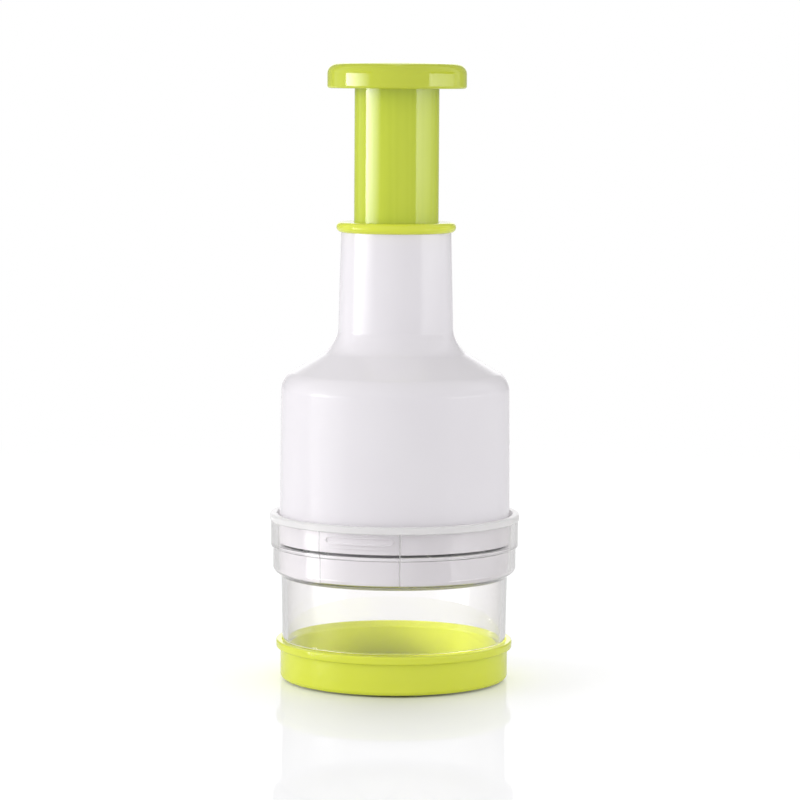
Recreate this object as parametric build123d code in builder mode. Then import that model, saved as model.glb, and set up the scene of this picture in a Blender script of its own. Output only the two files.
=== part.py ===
from build123d import *
import math
import os

# Hand-press vegetable chopper, in millimetres.
# A clear cup stands in a tray, a bell-shaped housing sits in the cup's collar, and a knob on a
# sleeve is pressed down to drive folded blades through the cup. A twisted rod runs through a
# fixed nut, so the blades also turn on every stroke, and a spring lifts the plunger again.
# The frame has +Z up and its origin in the middle of the underside. The front faces -Y.

# Roundings of moulded edges
fine_round = 0.2
edge_round = 0.4
soft_round = 0.6

# Tray
tray_height = 15.8
tray_floor = 2.5
tray_wall = 1.85
tray_lip_reach = 1.75
tray_lip_height = 3.3
tray_lip_edge = 0.8
tray_lip_blend = 1.2
tray_bottom_edge = 1.9
tray_flare = 1.3
tray_flare_height = 2.4
tray_recess_depth = 0.8
tray_foot_width = 5.5

# Cup
cup_height = 64.4
cup_radius = 45.4
cup_draft = 0.45
cup_wall = 2.0
cup_foot_step = 1.25
cup_foot_height = 11.5
cup_foot_wall = 1.6
cup_foot_blend = 2.5
cup_foot_gap = 0.2
rim_height = 2.7
rim_reach = 0.45
rim_edge = 1.0
collar_upper_reach = 4.25
collar_upper_height = 10.8
collar_lower_reach = 3.35
collar_lower_height = 9.2
collar_slope_height = 3.3
collar_round = 2.5
collar_ledge_height = 3.0

# Guard ring and wiper
guard_height = 10.9
guard_wall = 1.8
guard_floor = 2.3
guard_reach = 0.8
guard_gap = 0.3
guard_trough = 1.9
tongue_height = 8.6
tongue_wall = 1.45
tongue_width = 38.0
tongue_bead = 0.65
tongue_bead_height = 1.8
tongue_bead_width = 31.0
upstand_wall = 1.3
wiper_thickness = 2.8
wiper_gap = 0.2
wiper_slot_gap = 0.4
wiper_seat = 2.4
retainer_thickness = 1.5
retainer_overlap = 1.7

# Housing
housing_wall = 2.0
skirt_groove = 0.8
skirt_reach = 0.1
skirt_gap = 0.8
skirt_fit = 0.15
drum_draft = 0.65
shoulder_slope = 30.3
shoulder_round = 8.4
neck_foot_radius = 23.15
neck_draft = 1.15
neck_round = 11.6
boss_inset = 10.0
boss_radius = 4.2
boss_drop = 8.0
boss_rib = 1.6
boss_count = 3
boss_azimuth = 90.0

# Lugs on the skirt, in channels of the collar, with grooves behind them for the tongues
lug_count = 3
lug_azimuth = -107.5
lug_height = 2.4
lug_width = 34.0
lug_proud = 0.7
panel_height = 6.6
panel_width = 39.3
panel_proud = 0.3
panel_corner = 2.0
panel_rise = 5.3
groove_depth = 0.7
groove_width = 32.0
groove_gap = 0.3
channel_width = 40.6
channel_depth = 0.5

# Neck ring
ring_height = 4.15
ring_reach = 1.9
ring_flat = 0.1
ring_spigot = 6.25
ring_fit = 0.15

# Plunger
sleeve_radius = 16.9
sleeve_wall = 1.8
sleeve_gap = 0.3
sleeve_foot_gap = 0.6
sleeve_foot = 2.0
sleeve_run_out = 13.0
sleeve_plate = 2.0
sleeve_hub_radius = 6.0
sleeve_hub_drop = 3.0
window_count = 3
window_width = 76.0
window_land = 0.6
knob_clearance = 7.9
knob_radius = 27.8
knob_height = 11.4
knob_wall = 2.2
knob_dome_drop = 1.5
knob_shoulder_drop = 5.5
knob_shoulder_width = 3.3
knob_edge = 1.0
knob_fit = 0.1
knob_post_wall = 1.8

# Guide tower and nut
bulkhead_gap = 0.65
bulkhead_thickness = 3.0
bulkhead_rib_height = 3.0
bulkhead_rib_width = 1.6
bulkhead_rib_count = 6
bulkhead_rib_inset = 1.0
tower_height = 37.0
tower_radius = 11.0
tower_wall = 2.2
nut_height = 8.0
nut_flange = 2.0
nut_fit = 0.1
nut_key_width = 4.0
nut_pin_radius = 1.0

# Twisted rod
rod_side = 6.0
rod_corner = 0.6
rod_gap = 0.25
rod_turn = 60.0
rod_turn_margin = 3.0
rod_section_count = 6
nut_section_count = 2
rod_journal_radius = 2.3
rod_running_gap = 0.05
rod_end_gap = 0.1
washer_inset = 0.5
washer_thickness = 1.0

# Blade carriage
cutting_gap = 0.5
carriage_gap = 1.0
plate_gap = 0.8
plate_thickness = 3.0
hub_disc_inset = 4.5
hub_disc = 2.5
hub_radius = 7.5
hub_height = 10.0
hub_gap = 2.0
hub_fillet = 1.5
hub_rib_height = 3.0
hub_rib_width = 1.6
hub_rib_inset = 5.0
hub_rib_count = 4
hub_rib_azimuth = 68.0
cross_pin_radius = 1.0
blade_thickness = 0.8
blade_inset = 2.1
blade_end_inset = 2.4
blade_fold_inset = 3.9
blade_rest = 1.8
blade_folds = 5
blade_fold_radius = 1.6
blade_bevel = 1.5
blade_edge_width = 0.2
blade_fit = 0.05

# Spring
spring_turns = 12
spring_gap = 1.3
spring_wire = 0.8
spring_seat_thickness = 1.2
spring_seat_wall = 3.8
spring_seat_fit = 0.15

# Screws
screw_radius = 1.5
screw_head_radius = 2.9
screw_head_height = 2.0
screw_length = 11.0
screw_sink = 1.2
small_screw_radius = 1.25
small_head_radius = 2.3
small_head_height = 1.8
small_screw_length = 5.0
carrier_screw_inset = 16.5
carrier_screw_angles = (24.0, 112.0, 204.0, 292.0)
screw_fit = 0.05
overrun = 1.0

# Heights, from the tray up
cup_seat = tray_floor
rim_z = cup_seat + cup_height
collar_top = rim_z - rim_height
collar_step = collar_top - collar_upper_height
collar_slope_top = collar_step - collar_lower_height
collar_foot = collar_slope_top - collar_slope_height
ledge_z = collar_foot + collar_ledge_height
guard_top = ledge_z + guard_height
wiper_z = ledge_z + guard_floor
wiper_top = wiper_z + wiper_thickness
retainer_z = wiper_top + wiper_gap
skirt_z = guard_top + skirt_groove
panel_z = skirt_z + panel_rise
blade_z = wiper_z + blade_rest
press_travel = blade_z - tray_floor - cutting_gap
plate_z = wiper_top + carriage_gap + press_travel
hub_z = plate_z + plate_thickness
hub_top = hub_z + hub_height
bulkhead_z = hub_top + hub_gap
bulkhead_top = bulkhead_z + bulkhead_thickness
shoulder_z = bulkhead_top + boss_drop
sleeve_pressed_z = bulkhead_top + sleeve_run_out
sleeve_z = sleeve_pressed_z + press_travel
ring_spigot_z = sleeve_z + sleeve_foot
neck_top = ring_spigot_z + ring_spigot
ring_top = neck_top + ring_height
knob_z = ring_top + knob_clearance + press_travel
knob_top = knob_z + knob_height
sleeve_top = knob_z + sleeve_plate
sleeve_hub_z = knob_z - sleeve_hub_drop
tower_top = bulkhead_top + tower_height
nut_z = tower_top - nut_height
nut_top = tower_top + nut_flange
twist_z = nut_z - rod_turn_margin
twist_top = nut_top + press_travel + rod_turn_margin
spring_z = bulkhead_top + spring_seat_thickness

# Radii
cup_low_radius = cup_radius - cup_draft
foot_radius = cup_low_radius - cup_foot_step
tray_bore = foot_radius + cup_foot_gap
tray_radius = tray_bore + tray_wall
tray_lip_radius = tray_radius + tray_lip_reach
collar_lower_radius = cup_radius + collar_lower_reach
collar_radius = cup_radius + collar_upper_reach
rim_radius = collar_radius + rim_reach
guard_radius = cup_radius + guard_reach
lower_bore = guard_radius + guard_gap
skirt_radius = guard_radius + skirt_reach
collar_bore = skirt_radius + skirt_gap
drum_radius = skirt_radius - drum_draft
neck_radius = neck_foot_radius - neck_draft
neck_bore = neck_radius - housing_wall
neck_foot_z = shoulder_z + (drum_radius - neck_foot_radius) * math.tan(math.radians(shoulder_slope))
skirt_bore = skirt_radius - housing_wall
tongue_radius = skirt_bore - skirt_fit
bulkhead_radius = drum_radius - housing_wall - bulkhead_gap
boss_circle_radius = bulkhead_radius - boss_inset
ring_radius = neck_radius + ring_reach
ring_bore = sleeve_radius + sleeve_gap
sleeve_bore = sleeve_radius - sleeve_wall
sleeve_foot_radius = neck_bore - sleeve_foot_gap
tower_bore = tower_radius - tower_wall
spring_radius = tower_radius + spring_gap + spring_wire
window_radius = spring_radius - spring_wire - window_land
rod_radius = rod_side / 2
washer_radius = sleeve_hub_radius - washer_inset
retainer_radius = guard_radius - guard_wall - guard_trough
wiper_radius = retainer_radius - upstand_wall - wiper_gap
retainer_bore = wiper_radius - retainer_overlap
guard_hole_radius = wiper_radius - wiper_seat
plate_radius = retainer_bore - plate_gap
hub_disc_radius = plate_radius - hub_disc_inset
hub_rib_reach = hub_disc_radius - hub_rib_inset
carrier_circle_radius = plate_radius - carrier_screw_inset
blade_circle_radius = plate_radius - blade_inset
blade_reach = blade_circle_radius - blade_end_inset


def outline(corners):
    """Half section of a turned piece, through (radius, height, rounding) corners."""
    with BuildSketch() as section:
        with BuildLine():
            FilletPolyline(
                *[(r, z) for r, z, _ in corners], radius=[c for _, _, c in corners], close=True
            )
        make_face()
    return section.sketch


def bell(inset):
    """Half section of the housing's filled form, with its surface moved in by a wall."""
    drop = inset * math.tan(math.radians((90 - shoulder_slope) / 2))
    with BuildSketch() as section:
        with BuildLine():
            side = FilletPolyline(
                (neck_radius - inset, neck_top),
                (neck_foot_radius - inset, neck_foot_z - drop),
                (drum_radius - inset, shoulder_z - drop),
                (skirt_radius - inset, skirt_z),
                radius=[neck_round + inset, shoulder_round - inset],
            )
            Polyline(side @ 1, (0, skirt_z), (0, neck_top), side @ 0)
        make_face()
    return section.sketch


def ring_sector(inner, outer, middle, width):
    """Part of a flat ring, from its radii, its middle angle and its width in degrees."""
    with BuildSketch() as sector:
        with BuildLine():
            outside = CenterArc((0, 0), outer, middle - width / 2, width)
            inside = CenterArc((0, 0), inner, middle - width / 2, width)
            Line(inside @ 0, outside @ 0)
            Line(inside @ 1, outside @ 1)
        make_face()
    return sector.sketch


def radial_plane(angle):
    """Upright plane through the axis, at an angle in degrees."""
    across = on_circle(1, angle)
    return Plane(origin=(0, 0, 0), x_dir=(*across, 0), z_dir=(across[1], -across[0], 0))


def turned_plane(z):
    """Plane across the rod at a height, turned as the rod's flats are turned there."""
    angle = math.radians(-rod_turn / press_travel * (z - nut_z))
    return Plane(origin=(0, 0, z), x_dir=(math.cos(angle), math.sin(angle), 0), z_dir=(0, 0, 1))


def turned_squares(side, corner, low, high, steps):
    """Rounded squares up the rod's axis, each turned by the rod's lead."""
    faces = []
    for step in range(steps + 1):
        with BuildSketch(turned_plane(low + (high - low) * step / steps)) as square:
            RectangleRounded(side, side, corner)
        faces.append(square.sketch.face())
    return faces


def pleats(width):
    """The folded blade seen from above, as a band of the given width."""
    corners = []
    for fold in range(blade_folds + 1):
        x = blade_reach * (2 * fold / blade_folds - 1)
        y = math.sqrt(blade_circle_radius**2 - x**2) - blade_fold_inset
        corners.append((x, y if fold % 2 else -y))
    with BuildSketch() as band:
        with BuildLine():
            FilletPolyline(*corners, radius=blade_fold_radius)
        trace(line_width=width)
    return band.sketch


def on_circle(radius, angle):
    """Point on a circle about the axis, at an angle in degrees."""
    return (radius * math.cos(math.radians(angle)), radius * math.sin(math.radians(angle)))


lug_angles = [lug_azimuth + 360 / lug_count * index for index in range(lug_count)]

# Tray: the cup stands in it, and it closes the cup from below
with BuildPart() as base_tray:
    recess_radius = tray_radius - tray_bottom_edge - tray_foot_width
    flare_z = tray_height - tray_flare_height
    lip_z = tray_height - tray_lip_height
    with BuildSketch(Plane.XZ):
        add(
            outline(
                [
                    (0, tray_recess_depth, 0),
                    (recess_radius, tray_recess_depth, edge_round),
                    (recess_radius + tray_recess_depth, 0, edge_round),
                    (tray_radius, 0, tray_bottom_edge),
                    (tray_radius, lip_z, tray_lip_blend),
                    (tray_lip_radius, lip_z, tray_lip_edge),
                    (tray_lip_radius, tray_height, tray_lip_edge),
                    (tray_bore + tray_flare, tray_height, edge_round),
                    (tray_bore, flare_z, soft_round),
                    (tray_bore, tray_floor, 0),
                    (0, tray_floor, 0),
                ]
            )
        )
    revolve(axis=Axis.Z)

# Cup: a drafted clear cylinder with a stepped collar and a rim
with BuildPart() as clear_cup:
    foot_top = cup_seat + cup_foot_height
    body_z = foot_top + cup_foot_blend
    inner_step = skirt_z - skirt_groove
    with BuildSketch(Plane.XZ):
        add(
            outline(
                [
                    (foot_radius - cup_foot_wall, cup_seat, edge_round),
                    (foot_radius, cup_seat, edge_round),
                    (foot_radius, foot_top, soft_round),
                    (cup_low_radius, body_z, soft_round),
                    (cup_radius, collar_foot, soft_round),
                    (collar_lower_radius, collar_slope_top, collar_round),
                    (collar_lower_radius, collar_step, edge_round),
                    (collar_radius, collar_step, edge_round),
                    (collar_radius, collar_top, fine_round),
                    (rim_radius, collar_top, fine_round),
                    (rim_radius, rim_z, rim_edge),
                    (collar_bore, rim_z, soft_round),
                    (collar_bore, inner_step, fine_round),
                    (lower_bore, inner_step, fine_round),
                    (lower_bore, ledge_z, fine_round),
                    (cup_radius - cup_wall, ledge_z, edge_round),
                    (cup_low_radius - cup_wall, body_z, soft_round),
                    (foot_radius - cup_foot_wall, foot_top, soft_round),
                ]
            )
        )
    revolve(axis=Axis.Z)
    for low, high, bore in ((ledge_z, inner_step, lower_bore), (inner_step, rim_z, collar_bore)):
        with BuildSketch(Plane.XY.offset(low)):
            for angle in lug_angles:
                add(ring_sector(guard_radius, bore + channel_depth, angle, channel_width))
        extrude(amount=high - low, mode=Mode.SUBTRACT)

# Guard ring: rests on the cup's ledge, carries the wiper and snaps into the skirt by tongues
with BuildPart() as guard_ring:
    wall_radius = guard_radius - guard_wall
    upstand_bore = retainer_radius - upstand_wall
    tongue_bore = tongue_radius - tongue_wall
    web_z = guard_top - guard_wall
    tongue_top = guard_top + tongue_height
    with BuildSketch(Plane.XZ):
        add(
            outline(
                [
                    (guard_hole_radius, ledge_z, edge_round),
                    (guard_radius, ledge_z, soft_round),
                    (guard_radius, guard_top, edge_round),
                    (wall_radius, guard_top, edge_round),
                    (wall_radius, wiper_z, edge_round),
                    (retainer_radius, wiper_z, edge_round),
                    (retainer_radius, retainer_z, 0),
                    (upstand_bore, retainer_z, 0),
                    (upstand_bore, wiper_z, 0),
                    (guard_hole_radius, wiper_z, 0),
                ]
            )
        )
    revolve(axis=Axis.Z)
    tongue = [
        (tongue_bore, web_z, edge_round),
        (guard_radius - guard_wall / 2, web_z, 0),
        (guard_radius - guard_wall / 2, guard_top - edge_round, 0),
        (tongue_radius, guard_top - edge_round, 0),
        (tongue_radius, tongue_top, edge_round),
        (tongue_bore, tongue_top, edge_round),
    ]
    bead = [
        (tongue_radius - tongue_bead, panel_z - tongue_bead_height / 2, 0),
        (tongue_radius, panel_z - tongue_bead_height / 2, 0),
        (tongue_radius + tongue_bead, panel_z, fine_round),
        (tongue_radius, panel_z + tongue_bead_height / 2, 0),
        (tongue_radius - tongue_bead, panel_z + tongue_bead_height / 2, 0),
    ]
    for angle in lug_angles:
        for corners, width in ((tongue, tongue_width), (bead, tongue_bead_width)):
            with BuildSketch(radial_plane(angle - width / 2)):
                add(outline(corners))
            revolve(axis=Axis.Z, revolution_arc=width)

# Wiper: turns with the blades and strips food off them on the up stroke
with BuildPart() as wiper_disc:
    with BuildSketch(Plane.XY.offset(wiper_z)):
        Circle(wiper_radius)
    extrude(amount=wiper_thickness)
    with BuildSketch(Plane.XY.offset(wiper_z - overrun)):
        add(pleats(blade_thickness + 2 * wiper_slot_gap))
    extrude(amount=wiper_thickness + 2 * overrun, mode=Mode.SUBTRACT)

# Retainer: keeps the wiper down while the blades are drawn up through it
with BuildPart() as wiper_retainer:
    with BuildSketch(Plane.XY.offset(retainer_z)):
        Circle(retainer_radius)
        Circle(retainer_bore, mode=Mode.SUBTRACT)
    extrude(amount=retainer_thickness)
    chamfer(wiper_retainer.faces().sort_by(Axis.Z)[-1].edges(), edge_round)

# Housing: the bell's inner space first, with the screw bosses and their ribs left standing
with BuildPart() as bell_space:
    with BuildSketch(Plane.XZ):
        add(bell(housing_wall))
    revolve(axis=Axis.Z)
    with BuildSketch(Plane.XY.offset(bulkhead_top)):
        with PolarLocations(boss_circle_radius, boss_count, start_angle=boss_azimuth):
            Circle(boss_radius)
            Rectangle(
                skirt_radius - boss_circle_radius, boss_rib, align=(Align.MIN, Align.CENTER)
            )
    extrude(amount=neck_foot_z - bulkhead_top, mode=Mode.SUBTRACT)

# Snap lugs, each a slim capsule on a low panel that follows the skirt
skirt_core = skirt_radius - housing_wall / 2
lug_planes = [
    Plane(
        origin=(0, 0, panel_z),
        x_dir=(-math.sin(math.radians(angle)), math.cos(math.radians(angle)), 0),
        z_dir=(math.cos(math.radians(angle)), math.sin(math.radians(angle)), 0),
    )
    for angle in lug_angles
]
with BuildPart() as skirt_panels:
    panel_radius = skirt_radius + panel_proud
    with BuildSketch(*lug_planes):
        RectangleRounded(
            2 * panel_radius * math.sin(math.radians(panel_width / 2)), panel_height, panel_corner
        )
    extrude(amount=rim_radius)
    with BuildSketch(Plane.XY.offset(panel_z - panel_height)):
        Circle(panel_radius)
        Circle(skirt_core, mode=Mode.SUBTRACT)
    extrude(amount=2 * panel_height, mode=Mode.INTERSECT)

with BuildPart() as skirt_lugs:
    lug_radius = skirt_radius + lug_proud
    with BuildSketch(*lug_planes):
        SlotOverall(2 * lug_radius * math.sin(math.radians(lug_width / 2)), lug_height)
    extrude(amount=rim_radius)
    with BuildSketch(Plane.XY.offset(panel_z - panel_height)):
        Circle(lug_radius)
        Circle(skirt_core, mode=Mode.SUBTRACT)
    extrude(amount=2 * panel_height, mode=Mode.INTERSECT)

with BuildPart() as housing_shell:
    with BuildSketch(Plane.XZ):
        add(bell(0))
    revolve(axis=Axis.Z)
    add(bell_space.part, mode=Mode.SUBTRACT)
    with BuildSketch(Plane.XY.offset(bulkhead_top)):
        with PolarLocations(boss_circle_radius, boss_count, start_angle=boss_azimuth):
            Circle(screw_radius + screw_fit)
    extrude(amount=screw_length, mode=Mode.SUBTRACT)
    add(skirt_panels.part)
    add(skirt_lugs.part)
    with BuildSketch(Plane.XY.offset(panel_z - tongue_bead_height / 2 - groove_gap)):
        for angle in lug_angles:
            add(ring_sector(tongue_radius, skirt_bore + groove_depth, angle, groove_width))
    extrude(amount=tongue_bead_height + 2 * groove_gap, mode=Mode.SUBTRACT)

# Guide tower: a bulkhead across the housing with a tube that holds the nut
with BuildPart() as guide_tower:
    with BuildSketch(Plane.XZ):
        add(
            outline(
                [
                    (tower_bore, bulkhead_z, edge_round),
                    (bulkhead_radius, bulkhead_z, edge_round),
                    (bulkhead_radius, bulkhead_top, edge_round),
                    (tower_radius, bulkhead_top, 0),
                    (tower_radius, tower_top, edge_round),
                    (tower_bore, tower_top, edge_round),
                ]
            )
        )
    revolve(axis=Axis.Z)
    rib_start = tower_radius + spring_seat_wall + bulkhead_rib_inset
    with BuildSketch(Plane.XY.offset(bulkhead_top)):
        with PolarLocations(rib_start, bulkhead_rib_count, start_angle=0):
            Rectangle(
                bulkhead_radius - bulkhead_rib_inset - rib_start,
                bulkhead_rib_width,
                align=(Align.MIN, Align.CENTER),
            )
    extrude(amount=bulkhead_rib_height)
    with Locations(Plane(origin=(0, 0, bulkhead_z), x_dir=(1, 0, 0), z_dir=(0, 0, -1))):
        with PolarLocations(boss_circle_radius, boss_count, start_angle=-boss_azimuth):
            CounterBoreHole(screw_radius + screw_fit, screw_head_radius + screw_fit, screw_sink)
    with BuildSketch(Plane.XY.offset(nut_z)):
        Rectangle(2 * tower_radius + overrun, nut_key_width)
    extrude(amount=nut_height + overrun, mode=Mode.SUBTRACT)
    with BuildSketch(Plane.XZ.offset(-tower_radius - overrun)):
        with Locations((0, nut_z + nut_height / 2)):
            Circle(nut_pin_radius + nut_fit / 2)
    extrude(amount=2 * (tower_radius + overrun), mode=Mode.SUBTRACT)

# Tower screws: up through the bulkhead into the housing's bosses
with BuildPart() as tower_screws:
    head_z = bulkhead_z + screw_sink
    with BuildSketch(Plane.XY.offset(head_z - screw_head_height)):
        with PolarLocations(boss_circle_radius, boss_count, start_angle=boss_azimuth):
            Circle(screw_head_radius)
    extrude(amount=screw_head_height)
    with BuildSketch(Plane.XY.offset(head_z)):
        with PolarLocations(boss_circle_radius, boss_count, start_angle=boss_azimuth):
            Circle(screw_radius)
    extrude(amount=screw_length)

# Nut: keyed into the tower, with a bore that matches the rod's twist
with BuildPart() as twist_nut:
    with BuildSketch(Plane.XY.offset(nut_z)):
        Circle(tower_radius - nut_fit)
        Rectangle(2 * tower_radius, nut_key_width - 2 * nut_fit, mode=Mode.INTERSECT)
        Circle(tower_bore - nut_fit)
    extrude(amount=nut_height)
    with BuildSketch(Plane.XY.offset(tower_top)):
        Circle(tower_radius)
    extrude(amount=nut_flange)
    with BuildSketch(Plane.XZ.offset(-tower_radius)):
        with Locations((0, nut_z + nut_height / 2)):
            Circle(nut_pin_radius + nut_fit / 2)
    extrude(amount=2 * tower_radius, mode=Mode.SUBTRACT)
    bore_squares = turned_squares(
        rod_side + 2 * rod_gap,
        rod_corner + rod_gap,
        nut_z - overrun,
        nut_top + overrun,
        nut_section_count,
    )
    loft(bore_squares, mode=Mode.SUBTRACT)

# Nut pins: from the tower's outside into the nut, one each side
with BuildPart() as nut_pins:
    pin_start = rod_side
    for side in (-1, 1):
        with BuildSketch(Plane.XZ.offset(side * tower_radius)):
            with Locations((0, nut_z + nut_height / 2)):
                Circle(nut_pin_radius)
        extrude(amount=-side * (tower_radius - pin_start))

# Spring seat: a steel washer round the tower's foot
with BuildPart() as spring_seat:
    with BuildSketch(Plane.XY.offset(bulkhead_top)):
        Circle(tower_radius + spring_seat_wall)
        Circle(tower_radius + spring_seat_fit, mode=Mode.SUBTRACT)
    extrude(amount=spring_seat_thickness)

# Return spring: half turns of round wire between the seat and the sleeve's top plate
with BuildPart() as return_spring:
    low = spring_z + spring_wire
    pitch = (knob_z - spring_wire - low) / spring_turns

    def coil_point(turns):
        """Point on the wire's middle line after a number of turns."""
        return (*on_circle(spring_radius, 360 * turns), low + pitch * turns)

    with BuildLine() as coil:
        for half in range(2 * spring_turns):
            ThreePointArc(
                coil_point(half / 2), coil_point(half / 2 + 0.25), coil_point(half / 2 + 0.5)
            )
    with BuildSketch(Plane(origin=coil.line @ 0, z_dir=coil.line % 0)):
        Circle(spring_wire)
    sweep()

# Neck ring: closes the neck and guides the sleeve
with BuildPart() as neck_ring:
    spigot_outer = neck_bore - ring_fit
    ring_edge = (ring_height - ring_flat) / 2
    with BuildSketch(Plane.XZ):
        add(
            outline(
                [
                    (ring_bore, ring_spigot_z, edge_round),
                    (spigot_outer, ring_spigot_z, edge_round),
                    (spigot_outer, neck_top, 0),
                    (ring_radius, neck_top, ring_edge),
                    (ring_radius, ring_top, ring_edge),
                    (ring_bore, ring_top, edge_round),
                ]
            )
        )
    revolve(axis=Axis.Z)

# Sleeve: the tube that slides in the neck, with a stop at its foot and the knob's plate on top,
# which has windows between the rod's hub and the ring that the spring pushes on
with BuildPart() as plunger_sleeve:
    rod_hole = rod_journal_radius + rod_running_gap
    plate_edge = knob_radius - knob_wall - knob_fit
    with BuildSketch(Plane.XZ):
        add(
            outline(
                [
                    (rod_hole, sleeve_hub_z, fine_round),
                    (sleeve_hub_radius, sleeve_hub_z, edge_round),
                    (sleeve_hub_radius, knob_z, 0),
                    (sleeve_bore, knob_z, 0),
                    (sleeve_bore, sleeve_z, edge_round),
                    (sleeve_foot_radius, sleeve_z, edge_round),
                    (sleeve_foot_radius, ring_spigot_z, edge_round),
                    (sleeve_radius, ring_spigot_z, fine_round),
                    (sleeve_radius, knob_z, 0),
                    (plate_edge, knob_z, edge_round),
                    (plate_edge, sleeve_top, edge_round),
                    (rod_hole, sleeve_top, fine_round),
                ]
            )
        )
    revolve(axis=Axis.Z)
    with BuildSketch(Plane.XY.offset(knob_z)) as windows:
        for index in range(window_count):
            middle = 360 / window_count * index
            add(ring_sector(sleeve_hub_radius, window_radius, middle, window_width))
        fillet(windows.vertices(), edge_round)
    extrude(amount=sleeve_plate, mode=Mode.SUBTRACT)

# Knob: a domed cap that snaps over the sleeve's plate
with BuildPart() as knob_cap:
    shoulder_r = knob_radius - knob_shoulder_width
    roof_z = knob_top - knob_wall - knob_dome_drop
    with BuildSketch(Plane.XZ):
        with BuildLine():
            dome = ThreePointArc(
                (0, knob_top),
                (shoulder_r / 2, knob_top - knob_dome_drop / 4),
                (shoulder_r, knob_top - knob_dome_drop),
            )
            brow = TangentArc(
                dome @ 1, (knob_radius, knob_top - knob_shoulder_drop), tangent=dome % 1
            )
            side = Line(brow @ 1, (knob_radius, knob_z + knob_edge))
            foot = RadiusArc(side @ 1, (knob_radius - knob_edge, knob_z), knob_edge)
            Polyline(foot @ 1, (0, knob_z), (0, knob_top))
        make_face()
        with BuildLine():
            Polyline(
                (0, knob_z),
                (knob_radius - knob_wall, knob_z),
                (knob_radius - knob_wall, roof_z - knob_shoulder_width / 2),
                (shoulder_r - knob_wall / 2, roof_z),
                (0, roof_z),
                close=True,
            )
        make_face(mode=Mode.SUBTRACT)
        with Locations((sleeve_bore, sleeve_top)):
            Rectangle(knob_post_wall, knob_top - knob_wall - sleeve_top, align=Align.MIN)
    revolve(axis=Axis.Z)

# Twisted rod: round ends, with a square bar between them that runs through the nut
with BuildPart() as twist_rod:
    with BuildSketch(Plane.XY.offset(hub_z)):
        Circle(rod_radius)
    extrude(amount=twist_z - hub_z)
    loft(turned_squares(rod_side, rod_corner, twist_z, twist_top, rod_section_count))
    with BuildSketch(Plane.XY.offset(twist_top)):
        Circle(rod_radius)
    extrude(amount=sleeve_hub_z - rod_end_gap - twist_top)
    with BuildSketch(Plane.XY.offset(sleeve_hub_z - rod_end_gap)):
        Circle(rod_journal_radius)
    extrude(amount=sleeve_top + 2 * rod_end_gap - sleeve_hub_z)
    with BuildSketch(Plane.XY.offset(sleeve_top + rod_end_gap)):
        Circle(small_screw_radius + screw_fit)
    extrude(amount=-small_screw_length - overrun, mode=Mode.SUBTRACT)
    with BuildSketch(Plane.XZ.offset(-rod_side)):
        with Locations((0, hub_z + hub_height / 2)):
            Circle(cross_pin_radius + screw_fit)
    extrude(amount=2 * rod_side, mode=Mode.SUBTRACT)

# Washer and screw: hold the rod up in the sleeve's plate and let it turn
washer_z = sleeve_top + rod_end_gap
with BuildPart() as rod_washer:
    with BuildSketch(Plane.XY.offset(washer_z)):
        Circle(washer_radius)
        Circle(small_screw_radius + screw_fit, mode=Mode.SUBTRACT)
    extrude(amount=washer_thickness)

with BuildPart() as rod_screw:
    with BuildSketch(Plane.XY.offset(washer_z + washer_thickness)):
        Circle(small_head_radius)
    extrude(amount=small_head_height)
    fillet(rod_screw.faces().sort_by(Axis.Z)[-1].edges(), soft_round)
    with BuildSketch(Plane.XY.offset(washer_z + washer_thickness)):
        Circle(small_screw_radius)
    extrude(amount=-small_screw_length)

# Carrier hub: a disc with a boss on the rod's foot
with BuildPart() as carrier_hub:
    with BuildSketch(Plane.XZ):
        add(
            outline(
                [
                    (rod_radius + screw_fit, hub_z, 0),
                    (hub_disc_radius, hub_z, edge_round),
                    (hub_disc_radius, hub_z + hub_disc, soft_round),
                    (hub_radius, hub_z + hub_disc, hub_fillet),
                    (hub_radius, hub_top, soft_round),
                    (rod_radius + screw_fit, hub_top, fine_round),
                ]
            )
        )
    revolve(axis=Axis.Z)
    with BuildSketch(Plane.XY.offset(hub_z + hub_disc)):
        with PolarLocations(hub_radius - overrun, hub_rib_count, start_angle=hub_rib_azimuth):
            Rectangle(hub_rib_reach - hub_radius, hub_rib_width, align=(Align.MIN, Align.CENTER))
    extrude(amount=hub_rib_height)
    with BuildSketch(Plane.XY.offset(hub_z)):
        for angle in carrier_screw_angles:
            with Locations(on_circle(carrier_circle_radius, angle)):
                Circle(small_screw_radius + screw_fit)
    extrude(amount=hub_disc, mode=Mode.SUBTRACT)
    with BuildSketch(Plane.XZ.offset(-hub_radius - overrun)):
        with Locations((0, hub_z + hub_height / 2)):
            Circle(cross_pin_radius + screw_fit)
    extrude(amount=2 * (hub_radius + overrun), mode=Mode.SUBTRACT)

# Carrier plate: clamps the folded blade's root under the hub
with BuildPart() as carrier_plate:
    with BuildSketch(Plane.XY.offset(plate_z)):
        Circle(plate_radius)
        add(pleats(blade_thickness + 2 * blade_fit), mode=Mode.SUBTRACT)
        for angle in carrier_screw_angles:
            with Locations(on_circle(carrier_circle_radius, angle)):
                Circle(small_screw_radius + screw_fit, mode=Mode.SUBTRACT)
    extrude(amount=plate_thickness)

# Carrier screws: through the hub's disc into the plate
with BuildPart() as carrier_screws:
    for angle in carrier_screw_angles:
        with BuildSketch(Plane.XY.offset(hub_z + hub_disc)):
            with Locations(on_circle(carrier_circle_radius, angle)):
                Circle(small_head_radius)
        extrude(amount=small_head_height)
        with BuildSketch(Plane.XY.offset(hub_z + hub_disc)):
            with Locations(on_circle(carrier_circle_radius, angle)):
                Circle(small_screw_radius)
        extrude(amount=-small_screw_length)

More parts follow.
